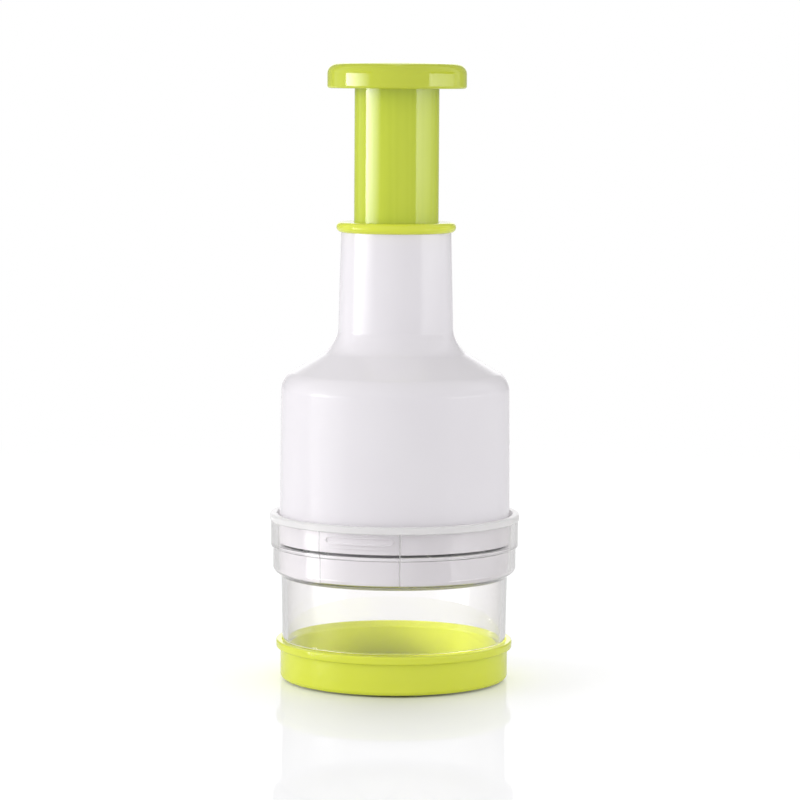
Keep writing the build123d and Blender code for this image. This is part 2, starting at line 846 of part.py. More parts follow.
# Cross pin: through the hub and the rod's foot
with BuildPart() as cross_pin:
    with BuildSketch(Plane.XZ.offset(-hub_radius)):
        with Locations((0, hub_z + hub_height / 2)):
            Circle(cross_pin_radius)
    extrude(amount=2 * hub_radius)

# Blade: one folded strip with a sharpened lower edge
with BuildPart() as zigzag_blade:
    with BuildSketch(Plane.XY.offset(blade_z)) as cutting_edge:
        add(pleats(blade_edge_width))
    with BuildSketch(Plane.XY.offset(blade_z + blade_bevel)) as bevel_top:
        add(pleats(blade_thickness))
    loft(ruled=True)
    with BuildSketch(Plane.XY.offset(blade_z + blade_bevel)):
        add(pleats(blade_thickness))
    extrude(amount=hub_z - blade_z - blade_bevel)

pieces = {
    "base_tray": base_tray,
    "clear_cup": clear_cup,
    "guard_ring": guard_ring,
    "wiper_disc": wiper_disc,
    "wiper_retainer": wiper_retainer,
    "housing_shell": housing_shell,
    "guide_tower": guide_tower,
    "tower_screws": tower_screws,
    "twist_nut": twist_nut,
    "nut_pins": nut_pins,
    "spring_seat": spring_seat,
    "return_spring": return_spring,
    "neck_ring": neck_ring,
    "plunger_sleeve": plunger_sleeve,
    "knob_cap": knob_cap,
    "twist_rod": twist_rod,
    "rod_washer": rod_washer,
    "rod_screw": rod_screw,
    "carrier_hub": carrier_hub,
    "carrier_plate": carrier_plate,
    "carrier_screws": carrier_screws,
    "cross_pin": cross_pin,
    "zigzag_blade": zigzag_blade,
}
os.makedirs("parts", exist_ok=True)
for name, piece in pieces.items():
    piece.part.label = name
    export_step(piece.part, f"parts/{name}.step")
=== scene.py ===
import logging
import math
from dataclasses import dataclass
from enum import Enum
from typing import ClassVar

import bmesh
import bpy
from mathutils import Matrix, Vector


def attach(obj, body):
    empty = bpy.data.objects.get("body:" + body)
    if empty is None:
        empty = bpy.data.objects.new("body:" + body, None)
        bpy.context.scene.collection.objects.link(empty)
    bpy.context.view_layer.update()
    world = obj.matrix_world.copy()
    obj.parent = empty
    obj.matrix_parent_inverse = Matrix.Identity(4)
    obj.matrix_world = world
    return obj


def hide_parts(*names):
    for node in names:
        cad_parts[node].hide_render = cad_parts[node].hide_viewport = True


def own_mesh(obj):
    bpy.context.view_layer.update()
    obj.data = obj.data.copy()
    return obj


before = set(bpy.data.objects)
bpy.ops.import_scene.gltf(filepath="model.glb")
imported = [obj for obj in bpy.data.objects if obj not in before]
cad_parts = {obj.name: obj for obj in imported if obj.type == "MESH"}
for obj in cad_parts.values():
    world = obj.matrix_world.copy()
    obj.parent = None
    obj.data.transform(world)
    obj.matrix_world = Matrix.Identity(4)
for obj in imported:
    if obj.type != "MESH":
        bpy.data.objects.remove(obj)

logging.basicConfig(level=logging.INFO, format="%(message)s")
log = logging.getLogger("chopper")

MM = 0.001
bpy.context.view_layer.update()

# Roundings of moulded edges, in millimetres
FINE = 0.2
EDGE = 0.4
SOFT = 0.6

# Metres between points that are one, and between a point and the corner that it lies on
SAME_POINT = 1e-7
ON_CORNER = 1e-6

# Values between which nearly all of a noise lies
NOISE_SPAN = (0.3, 0.7)

# Parts a ray that has met nothing matt from one that has
MATT_DEPTH = 0.5

# Takes the height out of a place or a direction
LEVEL = (1.0, 1.0, 0.0)


class Body(Enum):
    """Moving bodies of the chopper."""

    TRAY = "tray"
    CUP = "cup"
    HOUSING = "housing"
    WIPER = "wiper"
    PLUNGER = "plunger"
    BLADES = "blades"


class Slot(Enum):
    """Material slots of the record."""

    LIME = "lime_plastic"
    DEEP_LIME = "deep_lime_plastic"
    WHITE = "white_plastic"
    CLEAR = "clear_plastic"
    GREY = "grey_plastic"
    STEEL = "steel"
    BLADE = "blade_steel"


# Materials


def linear(colour: str) -> tuple[float, float, float, float]:
    """Turn an sRGB hex colour to linear light.

    Args:
        colour: Colour as "#RRGGBB".

    Returns:
        Linear red, green, blue and an alpha of 1.
    """
    levels = [int(colour[i:i + 2], 16) / 255 for i in (1, 3, 5)]
    red, green, blue = (v / 12.92 if v <= 0.04045 else ((v + 0.055) / 1.055) ** 2.4 for v in levels)
    return (red, green, blue, 1.0)


def add_node(
    tree: bpy.types.NodeTree, kind: str, inputs: dict | None = None, **settings: object
) -> bpy.types.Node:
    """Add a node with its settings, values and links.

    Args:
        tree: Node tree that gets the node.
        kind: Node type, such as "ShaderNodeBump".
        inputs: Socket name or index to a value, or to an output socket to link.
        settings: Attributes of the node.

    Returns:
        The new node.
    """
    node = tree.nodes.new(kind)
    for name, value in settings.items():
        setattr(node, name, value)
    for name, value in (inputs or {}).items():
        if isinstance(value, bpy.types.NodeSocket):
            tree.links.new(value, node.inputs[name])
        else:
            node.inputs[name].default_value = value
    return node


def new_material(name: str) -> tuple[bpy.types.Material, bpy.types.NodeTree]:
    """Make a material with an empty node tree.

    Args:
        name: Material name.

    Returns:
        The material and its node tree.
    """
    material = bpy.data.materials.new(name)
    material.use_nodes = True
    material.node_tree.nodes.clear()
    return material, material.node_tree


def per_mm(size: float) -> float:
    """Return a noise scale, in 1/m, for features of a size in millimetres."""
    return 1.0 / (size * MM)


@dataclass(frozen=True)
class MouldedPlastic:
    """Opaque injection-moulded plastic, with a soft gloss and a trace of flow in its colour.

    Sizes are in millimetres. A draw below 1 stretches the patterns upwards into draw marks. A
    hollow, given by its radius, foot and top, is a closed space whose walls get painted shade:
    there the colour turns to a dark grey.
    """

    name: str
    colour: str
    shade: str
    roughness: float
    ior: float = 1.5
    flow_size: float = 38.0
    peel_size: float = 1.8
    peel_depth: float = 0.004
    peel_strength: float = 0.3
    haze_fineness: float = 5.0
    gloss_spread: tuple[float, float] = (0.85, 1.15)
    glow: float = 0.0
    glow_size: float = 2.0
    glow_reach: tuple[float, float, float] = (1.0, 1.0, 0.3)
    draw: float = 1.0
    hollow: tuple[float, float, float] | None = None
    hollow_shade_colour: str = "#57505A"

    def make(self) -> bpy.types.Material:
        """Return the finished material."""
        material, tree = new_material(self.name)
        middle = add_node(tree, "ShaderNodeTexCoord").outputs["Object"]
        place = middle
        if self.draw != 1.0:
            place = add_node(tree, "ShaderNodeVectorMath", {
                0: place, 1: (1.0, 1.0, self.draw),
            }, operation="MULTIPLY").outputs["Vector"]
        flow = add_node(tree, "ShaderNodeTexNoise", {
            "Vector": place, "Scale": per_mm(self.flow_size), "Detail": 2.0, "Distortion": 0.6,
        })
        colour = add_node(tree, "ShaderNodeMix", {
            0: flow.outputs["Fac"], 6: linear(self.colour), 7: linear(self.shade),
        }, data_type="RGBA")
        if self.hollow:
            colour = self._shade_hollow(tree, middle, colour)
        haze = add_node(tree, "ShaderNodeTexNoise", {
            "Vector": place, "Scale": per_mm(self.flow_size / self.haze_fineness), "Detail": 3.0,
        })
        gloss = add_node(tree, "ShaderNodeMapRange", {
            "Value": haze.outputs["Fac"], "From Min": NOISE_SPAN[0], "From Max": NOISE_SPAN[1],
            "To Min": self.roughness * self.gloss_spread[0],
            "To Max": self.roughness * self.gloss_spread[1],
        })
        peel = add_node(tree, "ShaderNodeTexNoise", {
            "Vector": place, "Scale": per_mm(self.peel_size), "Detail": 2.0,
        })
        bump = add_node(tree, "ShaderNodeBump", {
            "Height": peel.outputs["Fac"], "Strength": self.peel_strength,
            "Distance": self.peel_depth * MM,
        })
        shader = add_node(tree, "ShaderNodeBsdfPrincipled", {
            "Base Color": colour.outputs[2], "Roughness": gloss.outputs["Result"],
            "IOR": self.ior, "Normal": bump.outputs["Normal"],
            "Subsurface Weight": self.glow, "Subsurface Scale": self.glow_size * MM,
            "Subsurface Radius": self.glow_reach,
        })
        add_node(tree, "ShaderNodeOutputMaterial", {"Surface": shader.outputs["BSDF"]})
        return material

    def _shade_hollow(
        self, tree: bpy.types.NodeTree, place: bpy.types.NodeSocket, colour: bpy.types.Node,
    ) -> bpy.types.Node:
        """Darken the walls of the closed hollow inside the skirt.

        Args:
            tree: Node tree that gets the nodes.
            place: Socket with the Object coordinates.
            colour: Mix node with the plastic's own colour.

        Returns:
            The mix node with the shaded colour.
        """
        radius, low, high = (size * MM for size in self.hollow)
        level = add_node(tree, "ShaderNodeVectorMath", {
            0: place, 1: LEVEL,
        }, operation="MULTIPLY")
        off = add_node(tree, "ShaderNodeVectorMath", {
            0: level.outputs["Vector"],
        }, operation="LENGTH")
        inside = add_node(tree, "ShaderNodeMath", {
            0: off.outputs["Value"], 1: radius,
        }, operation="LESS_THAN")
        height = add_node(tree, "ShaderNodeSeparateXYZ", {"Vector": place}).outputs["Z"]
        between = add_node(tree, "ShaderNodeMath", {
            0: height, 1: (low + high) / 2, 2: (high - low) / 2,
        }, operation="COMPARE")
        both = add_node(tree, "ShaderNodeMath", {
            0: inside.outputs["Value"], 1: between.outputs["Value"],
        }, operation="MULTIPLY")
        # Painted shade: inside the hollow's radius and between its foot and top the colour turns
        # dark
        return add_node(tree, "ShaderNodeMix", {
            0: both.outputs["Value"], 6: colour.outputs[2], 7: linear(self.hollow_shade_colour),
        }, data_type="RGBA")


@dataclass(frozen=True)
class ClearPlastic:
    """Clear injection-moulded acrylic: glossy, with fine flow lines, and deeper where it slants.

    Sizes are in millimetres. Where it slants to the view its colour deepens to a grey: partly the
    deeper look of a longer path through the wall, partly painted shade on the cup's sides. Rays
    that have bounced or crossed inside a wall more often than the given counts end in a painted
    glow of its own colour, at the given strength. Each wall passes more light than falls on it to
    what it holds, by the given gain: added light. From haze_height up the rim is mixed with plain
    diffuse white, a milky look that stands in for light that runs through the wall.
    """

    name: str
    colour: str
    ior: float = 1.55
    flow_size: float = 26.0
    flow_depth: float = 0.003
    flow_strength: float = 0.4
    gloss: tuple[float, float] = (0.01, 0.035)
    slant: tuple[float, float] = (0.12, 0.8)
    slant_tint_and_shade_colour: str = "#E1DFDD"
    painted_glow: float = 0.5
    painted_glow_bounces: float = 2.5
    painted_glow_crossings: float = 9.5
    extra_light_gain: float = 1.38
    haze: float = 0.55
    haze_height: tuple[float, float] = (63.9, 64.4)

    def make(self) -> bpy.types.Material:
        """Return the finished material."""
        material, tree = new_material(self.name)
        place = add_node(tree, "ShaderNodeTexCoord").outputs["Object"]
        flow = add_node(tree, "ShaderNodeTexNoise", {
            "Vector": place, "Scale": per_mm(self.flow_size), "Detail": 1.0,
        })
        bump = add_node(tree, "ShaderNodeBump", {
            "Height": flow.outputs["Fac"], "Strength": self.flow_strength,
            "Distance": self.flow_depth * MM,
        })
        gloss = add_node(tree, "ShaderNodeMapRange", {
            "Value": flow.outputs["Fac"], "To Min": self.gloss[0], "To Max": self.gloss[1],
        })
        # Painted shade, partly a real deeper tint: where the wall slants to the view its colour
        # turns grey
        turned = add_node(tree, "ShaderNodeLayerWeight", {"Blend": 0.5})
        slant = add_node(tree, "ShaderNodeMapRange", {
            "Value": turned.outputs["Facing"], "From Min": self.slant[0], "From Max": self.slant[1],
        })
        tint_and_slant_shade = add_node(tree, "ShaderNodeMix", {
            0: slant.outputs["Result"], 6: linear(self.colour), 7: linear(self.slant_tint_and_shade_colour),
        }, data_type="RGBA")
        shader = add_node(tree, "ShaderNodeBsdfPrincipled", {
            "Base Color": tint_and_slant_shade.outputs[2], "Roughness": gloss.outputs["Result"],
            "IOR": self.ior, "Transmission Weight": 1.0, "Normal": bump.outputs["Normal"],
        })
        # Shadow rays pass more light than falls on the wall, by the given gain: added light on what
        # the cup holds
        shadow = add_node(tree, "ShaderNodeBsdfTransparent", {
            "Color": (self.extra_light_gain, self.extra_light_gain, self.extra_light_gain, 1.0),
        })
        path = add_node(tree, "ShaderNodeLightPath")
        both = add_node(tree, "ShaderNodeMixShader", {
            0: path.outputs["Is Shadow Ray"], 1: shader.outputs["BSDF"], 2: shadow.outputs["BSDF"],
        })
        # Painted glow: rays that bounced or crossed inside the wall more often than the given
        # counts end in an emission of the plastic's colour
        bounced = add_node(tree, "ShaderNodeMath", {
            0: path.outputs["Glossy Depth"], 1: self.painted_glow_bounces,
        }, operation="GREATER_THAN")
        crossed = add_node(tree, "ShaderNodeMath", {
            0: path.outputs["Transmission Depth"], 1: self.painted_glow_crossings,
        }, operation="GREATER_THAN")
        deep = add_node(tree, "ShaderNodeMath", {
            0: bounced.outputs["Value"], 1: crossed.outputs["Value"],
        }, operation="MAXIMUM")
        painted_glow = add_node(tree, "ShaderNodeEmission", {
            "Color": linear(self.colour), "Strength": self.painted_glow,
        })
        height = add_node(tree, "ShaderNodeSeparateXYZ", {"Vector": place}).outputs["Z"]
        # From haze_height up the rim is mixed with plain diffuse white, a milky look standing in
        # for light that runs through the wall
        rim = add_node(tree, "ShaderNodeMapRange", {
            "Value": height, "From Min": self.haze_height[0] * MM,
            "From Max": self.haze_height[1] * MM, "To Max": self.haze,
        })
        milk = add_node(tree, "ShaderNodeBsdfDiffuse", {"Color": linear(self.colour)})
        body = add_node(tree, "ShaderNodeMixShader", {
            0: rim.outputs["Result"], 1: both.outputs["Shader"], 2: milk.outputs["BSDF"],
        })
        surface = add_node(tree, "ShaderNodeMixShader", {
            0: deep.outputs["Value"], 1: body.outputs["Shader"], 2: painted_glow.outputs["Emission"],
        })
        add_node(tree, "ShaderNodeOutputMaterial", {"Surface": surface.outputs["Shader"]})
        return material


@dataclass(frozen=True)
class DrawnMetal:
    """Drawn, rolled or ground steel, with fine lines along one axis, sized in millimetres."""

    name: str
    colour: str
    shade: str
    roughness: float
    line_size: float = 0.6
    line_depth: float = 0.01
    line_strength: float = 0.25
    gloss_spread: tuple[float, float] = (0.8, 1.3)
    stretch: tuple[float, float, float] = (1.0, 1.0, 0.04)

    def make(self) -> bpy.types.Material:
        """Return the finished material."""
        material, tree = new_material(self.name)
        place = add_node(tree, "ShaderNodeTexCoord").outputs["Object"]
        along = add_node(tree, "ShaderNodeMapping", {"Vector": place, "Scale": self.stretch})
        lines = add_node(tree, "ShaderNodeTexNoise", {
            "Vector": along.outputs["Vector"], "Scale": per_mm(self.line_size), "Detail": 3.0,
        })
        colour = add_node(tree, "ShaderNodeMix", {
            0: lines.outputs["Fac"], 6: linear(self.colour), 7: linear(self.shade),
        }, data_type="RGBA")
        gloss = add_node(tree, "ShaderNodeMapRange", {
            "Value": lines.outputs["Fac"], "From Min": NOISE_SPAN[0], "From Max": NOISE_SPAN[1],
            "To Min": self.roughness * self.gloss_spread[0],
            "To Max": self.roughness * self.gloss_spread[1],
        })
        bump = add_node(tree, "ShaderNodeBump", {
            "Height": lines.outputs["Fac"], "Strength": self.line_strength,
            "Distance": self.line_depth * MM,
        })
        shader = add_node(tree, "ShaderNodeBsdfPrincipled", {
            "Base Color": colour.outputs[2], "Metallic": 1.0,
            "Roughness": gloss.outputs["Result"], "Normal": bump.outputs["Normal"],
        })
        add_node(tree, "ShaderNodeOutputMaterial", {"Surface": shader.outputs["BSDF"]})
        return material


Finish = MouldedPlastic | ClearPlastic | DrawnMetal

# Glossy polypropylene in a light yellow-green, polished in the mould
LIME = MouldedPlastic("lime_polypropylene_moulded", "#DCE347", "#D7DF41", 0.055, glow=0.25)
# The same plastic in a deeper colour, on the knob
KNOB_LIME = MouldedPlastic("knob_lime_polypropylene_moulded", "#C5CF3A", "#C0CA34", 0.08, glow=0.1)
# The same plastic in the sleeve's deeper batch, with fine marks along the mould's draw
DEEP_LIME = MouldedPlastic(
    "deep_lime_polypropylene_moulded", "#CAD63D", "#B7C629", 0.1,
    glow=0.1, draw=0.02, flow_size=4.0, peel_size=0.8,
)
# ABS with a cool white that leans to lavender, polished in the mould
# Its walls inside the skirt's closed hollow get painted shade
WHITE = MouldedPlastic("white_abs_moulded", "#EAE7EB", "#E6E2E7", 0.2, hollow=(44.5, 49.5, 60.0))
# Acrylic, clear all through
CLEAR = ClearPlastic("clear_acrylic_moulded", "#FBFAFA")
# Acetal, a waxy grey that takes no polish
GREY = MouldedPlastic("grey_acetal_moulded", "#B9BBBD", "#B0B2B5", 0.38, peel_depth=0.01)
# Zinc-plated steel wire, bar and screws
STEEL = DrawnMetal("zinc_plated_steel_drawn", "#C9CACC", "#B4B6BA", 0.24)
# Stainless strip, rolled along its length and ground at the edge
BLADE = DrawnMetal("stainless_strip_rolled", "#D4D5D7", "#C2C4C7", 0.16, stretch=(0.04, 0.04, 1.0))

FINISHES = {
    Slot.LIME: LIME,
    Slot.DEEP_LIME: DEEP_LIME,
    Slot.WHITE: WHITE,
    Slot.CLEAR: CLEAR,
    Slot.GREY: GREY,
    Slot.STEEL: STEEL,
    Slot.BLADE: BLADE,
}


class Finisher:
    """Makes each material once and dresses pieces with it."""

    def __init__(self) -> None:
        """Start with no material made."""
        self.made: dict[str, bpy.types.Material] = {}

    def dress(self, piece: bpy.types.Object, slot: Slot, finish: Finish | None = None) -> None:
        """Give a piece its only material.

        Args:
            piece: Object to dress.
            slot: Slot of the record that it belongs to.
            finish: Finish that it gets, if not the slot's own.
        """
        finish = finish or FINISHES[slot]
        if finish.name not in self.made:
            self.made[finish.name] = finish.make()
        piece.data.materials.clear()
        piece.data.materials.append(self.made[finish.name])


# Meshes


@dataclass(frozen=True)
class Corner:
    """One corner of a half section, in millimetres."""

    radius: float
    height: float
    rounding: float = 0.0


@dataclass(frozen=True)
class Arc:
    """One stretch of a turn, in degrees and steps."""

    angle: float
    steps: int


class Lathe:
    """Turns half sections about the Z axis and rounds their corners."""

    FULL: tuple[Arc, ...] = (Arc(360.0, 200),)
    SEGMENTS_PER_MM = 3
    FEWEST_SEGMENTS = 3
    MOST_SEGMENTS = 14

    def turn(
        self,
        corners: list[Corner],
        arcs: tuple[Arc, ...] = FULL,
        start: float = 0.0,
        closed: bool = True,
    ) -> bmesh.types.BMesh:
        """Turn a half section to a solid.

        Args:
            corners: Corners in order round the section.
            arcs: Stretches that make up the full turn.
            start: Azimuth where the turn starts, in degrees.
            closed: Whether the last corner joins the first, as it doesn't on a section that
                starts and ends on the axis.

        Returns:
            The closed mesh, in metres.
        """
        mesh = bmesh.new()
        verts = [mesh.verts.new((c.radius * MM, 0, c.height * MM)) for c in corners]
        pairs = list(zip(verts, verts[1:]))
        if closed:
            pairs.append((verts[-1], verts[0]))
        edges = [mesh.edges.new(pair) for pair in pairs]
        turned = Matrix.Rotation(math.radians(start), 3, "Z")
        bmesh.ops.rotate(mesh, verts=verts, cent=(0, 0, 0), matrix=turned)
        last: list = verts + edges
        for arc in arcs:
            last = bmesh.ops.spin(
                mesh, geom=last, cent=(0, 0, 0), axis=(0, 0, 1), dvec=(0, 0, 0),
                angle=math.radians(arc.angle), steps=arc.steps, use_merge=len(arcs) == 1,
                use_normal_flip=False, use_duplicate=False,
            )["geom_last"]
        bmesh.ops.remove_doubles(mesh, verts=mesh.verts[:], dist=SAME_POINT)
        self._round(mesh, corners, closed)
        bmesh.ops.recalc_face_normals(mesh, faces=mesh.faces[:])
        return mesh

    def sector(
        self, corners: list[Corner], middle: float, width: float, steps: int
    ) -> bmesh.types.BMesh:
        """Turn a closed half section through part of a turn, with flat ends.

        Args:
            corners: Corners in order round the section.
            middle: Azimuth of the sector's middle, in degrees.
            width: Width of the sector, in degrees.
            steps: Steps across it.

        Returns:
            The closed mesh, in metres.
        """
        mesh = bmesh.new()
        verts = [mesh.verts.new((c.radius * MM, 0, c.height * MM)) for c in corners]
        face = mesh.faces.new(verts)
        turned = Matrix.Rotation(math.radians(middle - width / 2), 3, "Z")
        bmesh.ops.rotate(mesh, verts=verts, cent=(0, 0, 0), matrix=turned)
        bmesh.ops.spin(
            mesh, geom=verts + list(face.edges) + [face], cent=(0, 0, 0), axis=(0, 0, 1),
            dvec=(0, 0, 0), angle=math.radians(width), steps=steps, use_merge=False,
            use_normal_flip=False, use_duplicate=False,
        )
        self._round(mesh, corners, closed=True)
        bmesh.ops.recalc_face_normals(mesh, faces=mesh.faces[:])
        return mesh

    def _round(self, mesh: bmesh.types.BMesh, corners: list[Corner], closed: bool) -> None:
        """Round the corner rings of a turned mesh.

        Args:
            mesh: Turned mesh.
            corners: Corners that it was turned from.
            closed: Whether the last corner joins the first.
        """
        count = len(corners)
        for index, corner in enumerate(corners):
            if not corner.rounding or (not closed and index in (0, count - 1)):
                continue
            before = corners[index - 1]
            after = corners[(index + 1) % count]
            come = Vector((corner.radius - before.radius, corner.height - before.height))
            go = Vector((after.radius - corner.radius, after.height - corner.height))
            turn = come.angle(go)
            rim = [edge for edge in mesh.edges if all(
                abs(math.hypot(v.co.x, v.co.y) - corner.radius * MM) < ON_CORNER
                and abs(v.co.z - corner.height * MM) < ON_CORNER for v in edge.verts
            )]
            fitting = round(corner.rounding * self.SEGMENTS_PER_MM * turn)
            bmesh.ops.bevel(
                mesh, geom=rim, offset=corner.rounding * MM * math.tan(turn / 2),
                offset_type="OFFSET",
                segments=max(self.FEWEST_SEGMENTS, min(self.MOST_SEGMENTS, fitting)),
                profile=0.5, affect="EDGES", material=-1, clamp_overlap=False, loop_slide=True,
            )


@dataclass(frozen=True)
class Relief:
    """A low raised pad with round corners that follows a drum, in millimetres.

    Its top may be dished inside a rim. The round limit keeps a sliver of side between the round
    ends of a bar.
    """

    width: float
    height: float
    proud: float
    corner: float
    root: float = 0.6
    edge: float = 0.1
    rim: float = 0.0
    dish: float = 0.0
    slices: int = 24
    corner_segments: int = 8
    edge_segments: int = 3
    round_limit: float = 0.999

    def wrap(self, azimuth: float, radius: float, middle: float) -> bmesh.types.BMesh:
        """Make the pad and bend it round the drum.

        Args:
            azimuth: Middle of the pad, in degrees.
            radius: Radius of the drum's surface.
            middle: Height of the pad's middle.

        Returns:
            The pad's mesh, in metres.
        """
        mesh = bmesh.new()
        bmesh.ops.create_grid(mesh, x_segments=1, y_segments=1, size=0.5)
        bmesh.ops.scale(mesh, vec=(self.width * MM, self.height * MM, 1), verts=mesh.verts[:])
        bmesh.ops.bevel(
            mesh, geom=mesh.verts[:], offset=self.corner * self.round_limit * MM,
            offset_type="OFFSET", segments=self.corner_segments, profile=0.5, affect="VERTICES",
            material=-1, clamp_overlap=False,
        )
        raised = bmesh.ops.extrude_face_region(mesh, geom=mesh.faces[:])["geom"]
        top = [item for item in raised if isinstance(item, bmesh.types.BMVert)]
        bmesh.ops.translate(mesh, vec=(0, 0, (self.root + self.proud) * MM), verts=top)
        bmesh.ops.recalc_face_normals(mesh, faces=mesh.faces[:])
        lid = next(item for item in raised if isinstance(item, bmesh.types.BMFace))
        edges = list(lid.edges)
        if self.dish:
            bmesh.ops.inset_region(
                mesh, faces=[lid], thickness=self.rim * MM, depth=0, use_even_offset=True,
            )
            edges += list(lid.edges)
            sunk = bmesh.ops.extrude_face_region(mesh, geom=[lid])["geom"]
            floor = [item for item in sunk if isinstance(item, bmesh.types.BMVert)]
            bmesh.ops.translate(mesh, vec=(0, 0, -self.dish * MM), verts=floor)
            bmesh.ops.delete(mesh, geom=[lid], context="FACES")
        bmesh.ops.bevel(
            mesh, geom=[edge for edge in edges if edge.is_valid], offset=self.edge * MM,
            offset_type="OFFSET", segments=self.edge_segments, profile=0.5, affect="EDGES",
            material=-1, clamp_overlap=True,
        )
        for index in range(1, self.slices):
            across = (index / self.slices - 0.5) * self.width * MM
            bmesh.ops.bisect_plane(
                mesh, geom=mesh.verts[:] + mesh.edges[:] + mesh.faces[:], dist=SAME_POINT,
                plane_co=(across, 0, 0), plane_no=(1, 0, 0),
            )
        for vert in mesh.verts:
            turn = math.radians(azimuth) + vert.co.x / (radius * MM)
            out = (radius - self.root) * MM + vert.co.z
            vert.co = (out * math.cos(turn), out * math.sin(turn), middle * MM + vert.co.y)
        bmesh.ops.recalc_face_normals(mesh, faces=mesh.faces[:])
        return mesh


def merge(target: bmesh.types.BMesh, extra: bmesh.types.BMesh) -> None:
    """Add one mesh to another and free it.

    Args:
        target: Mesh that grows.
        extra: Mesh that is added and freed.
    """
    held = bpy.data.meshes.new("held")
    extra.to_mesh(held)
    extra.free()
    target.from_mesh(held)
    bpy.data.meshes.remove(held)


def new_object(name: str, mesh: bmesh.types.BMesh) -> bpy.types.Object:
    """Link a new object to the scene.

    Args:
        name: Name of the object and of its data.
        mesh: Its mesh, in metres, which is freed.

    Returns:
        The object.
    """
    data = bpy.data.meshes.new(name)
    mesh.to_mesh(data)
    mesh.free()
    item = bpy.data.objects.new(name, data)
    bpy.context.scene.collection.objects.link(item)
    return item


class Assembly:
    """What every sub-assembly shares: placing, dressing and reporting its pieces.

    Sub-assemblies hold their sizes in millimetres, with heights above the table.
    """

    SHARP_ANGLE: ClassVar[float] = 32.0
    FACE_WEIGHT: ClassVar[int] = 60
    FACET_GAP: ClassVar[float] = 2e-6
    finisher: ClassVar[Finisher] = Finisher()
    lathe: ClassVar[Lathe] = Lathe()

    def place(
        self,
        name: str,
        mesh: bmesh.types.BMesh,
        body: Body,
        slot: Slot,
        nodes: tuple[str, ...],
        finish: Finish | None = None,
    ) -> bpy.types.Object:
        """Make an object from a mesh and put it in the frame.

        Args:
            name: Name of the new piece.
            mesh: Its mesh, in metres, which is freed.
            body: Body that it rides on.
            slot: Slot of its finish.
            nodes: Nodes of the frame that it stands for.
            finish: Finish that it gets, if not the slot's own.

        Returns:
            The new object.
        """
        piece = new_object(name, mesh)
        piece.data.shade_smooth()
        piece.data.set_sharp_from_angle(angle=math.radians(self.SHARP_ANGLE))
        weighted = piece.modifiers.new("even_shading", "WEIGHTED_NORMAL")
        weighted.keep_sharp = True
        weighted.weight = self.FACE_WEIGHT
        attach(piece, body.value)
        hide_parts(*nodes)
        self.finisher.dress(piece, slot, finish)
        log.info("%s: %d faces on %s", name, len(piece.data.polygons), body.value)
        return piece

    def carry(self, node: str, body: Body, slot: Slot) -> bpy.types.Object:
        """Carry a piece of the frame over, with its facets merged to smooth faces.

        Args:
            node: Node to carry over.
            body: Body that it rides on.
            slot: Slot of its finish.

        Returns:
            The new object.
        """
        mesh = bmesh.new()
        mesh.from_mesh(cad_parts[node].data)
        bmesh.ops.remove_doubles(mesh, verts=mesh.verts[:], dist=self.FACET_GAP)
        return self.place(f"{node}_smooth", mesh, body, slot, (node,))


# The object


@dataclass
class Tray(Assembly):
    """Tray that the cup stands in, with a flared lip."""

    height: float = 15.8
    floor: float = 2.5
    radius: float = 45.75
    lip_radius: float = 47.5
    lip_height: float = 3.3
    lip_edge: float = 0.8
    bore: float = 43.9
    flare: float = 1.3
    flare_height: float = 2.4
    floor_edge: float = 0.5
    recess: float = 0.8
    foot_width: float = 5.5
    bottom_edge: float = 1.9

    def build(self) -> None:
        """Build and dress the tray."""
        recess_radius = self.radius - self.bottom_edge - self.foot_width
        lip = self.height - self.lip_height
        section = [
            Corner(0, self.recess),
            Corner(recess_radius, self.recess, EDGE),
            Corner(recess_radius + self.recess, 0, EDGE),
            Corner(self.radius, 0, self.bottom_edge),
            Corner(self.radius, lip, EDGE),
            Corner(self.lip_radius, lip, self.lip_edge),
            Corner(self.lip_radius, self.height, self.lip_edge),
            Corner(self.bore + self.flare, self.height, EDGE),
            Corner(self.bore, self.height - self.flare_height, SOFT),
            Corner(self.bore, self.floor, self.floor_edge),
            Corner(0, self.floor),
        ]
        mesh = self.lathe.turn(section, closed=False)
        self.place("tray_shell", mesh, Body.TRAY, Slot.LIME, ("base_tray",))


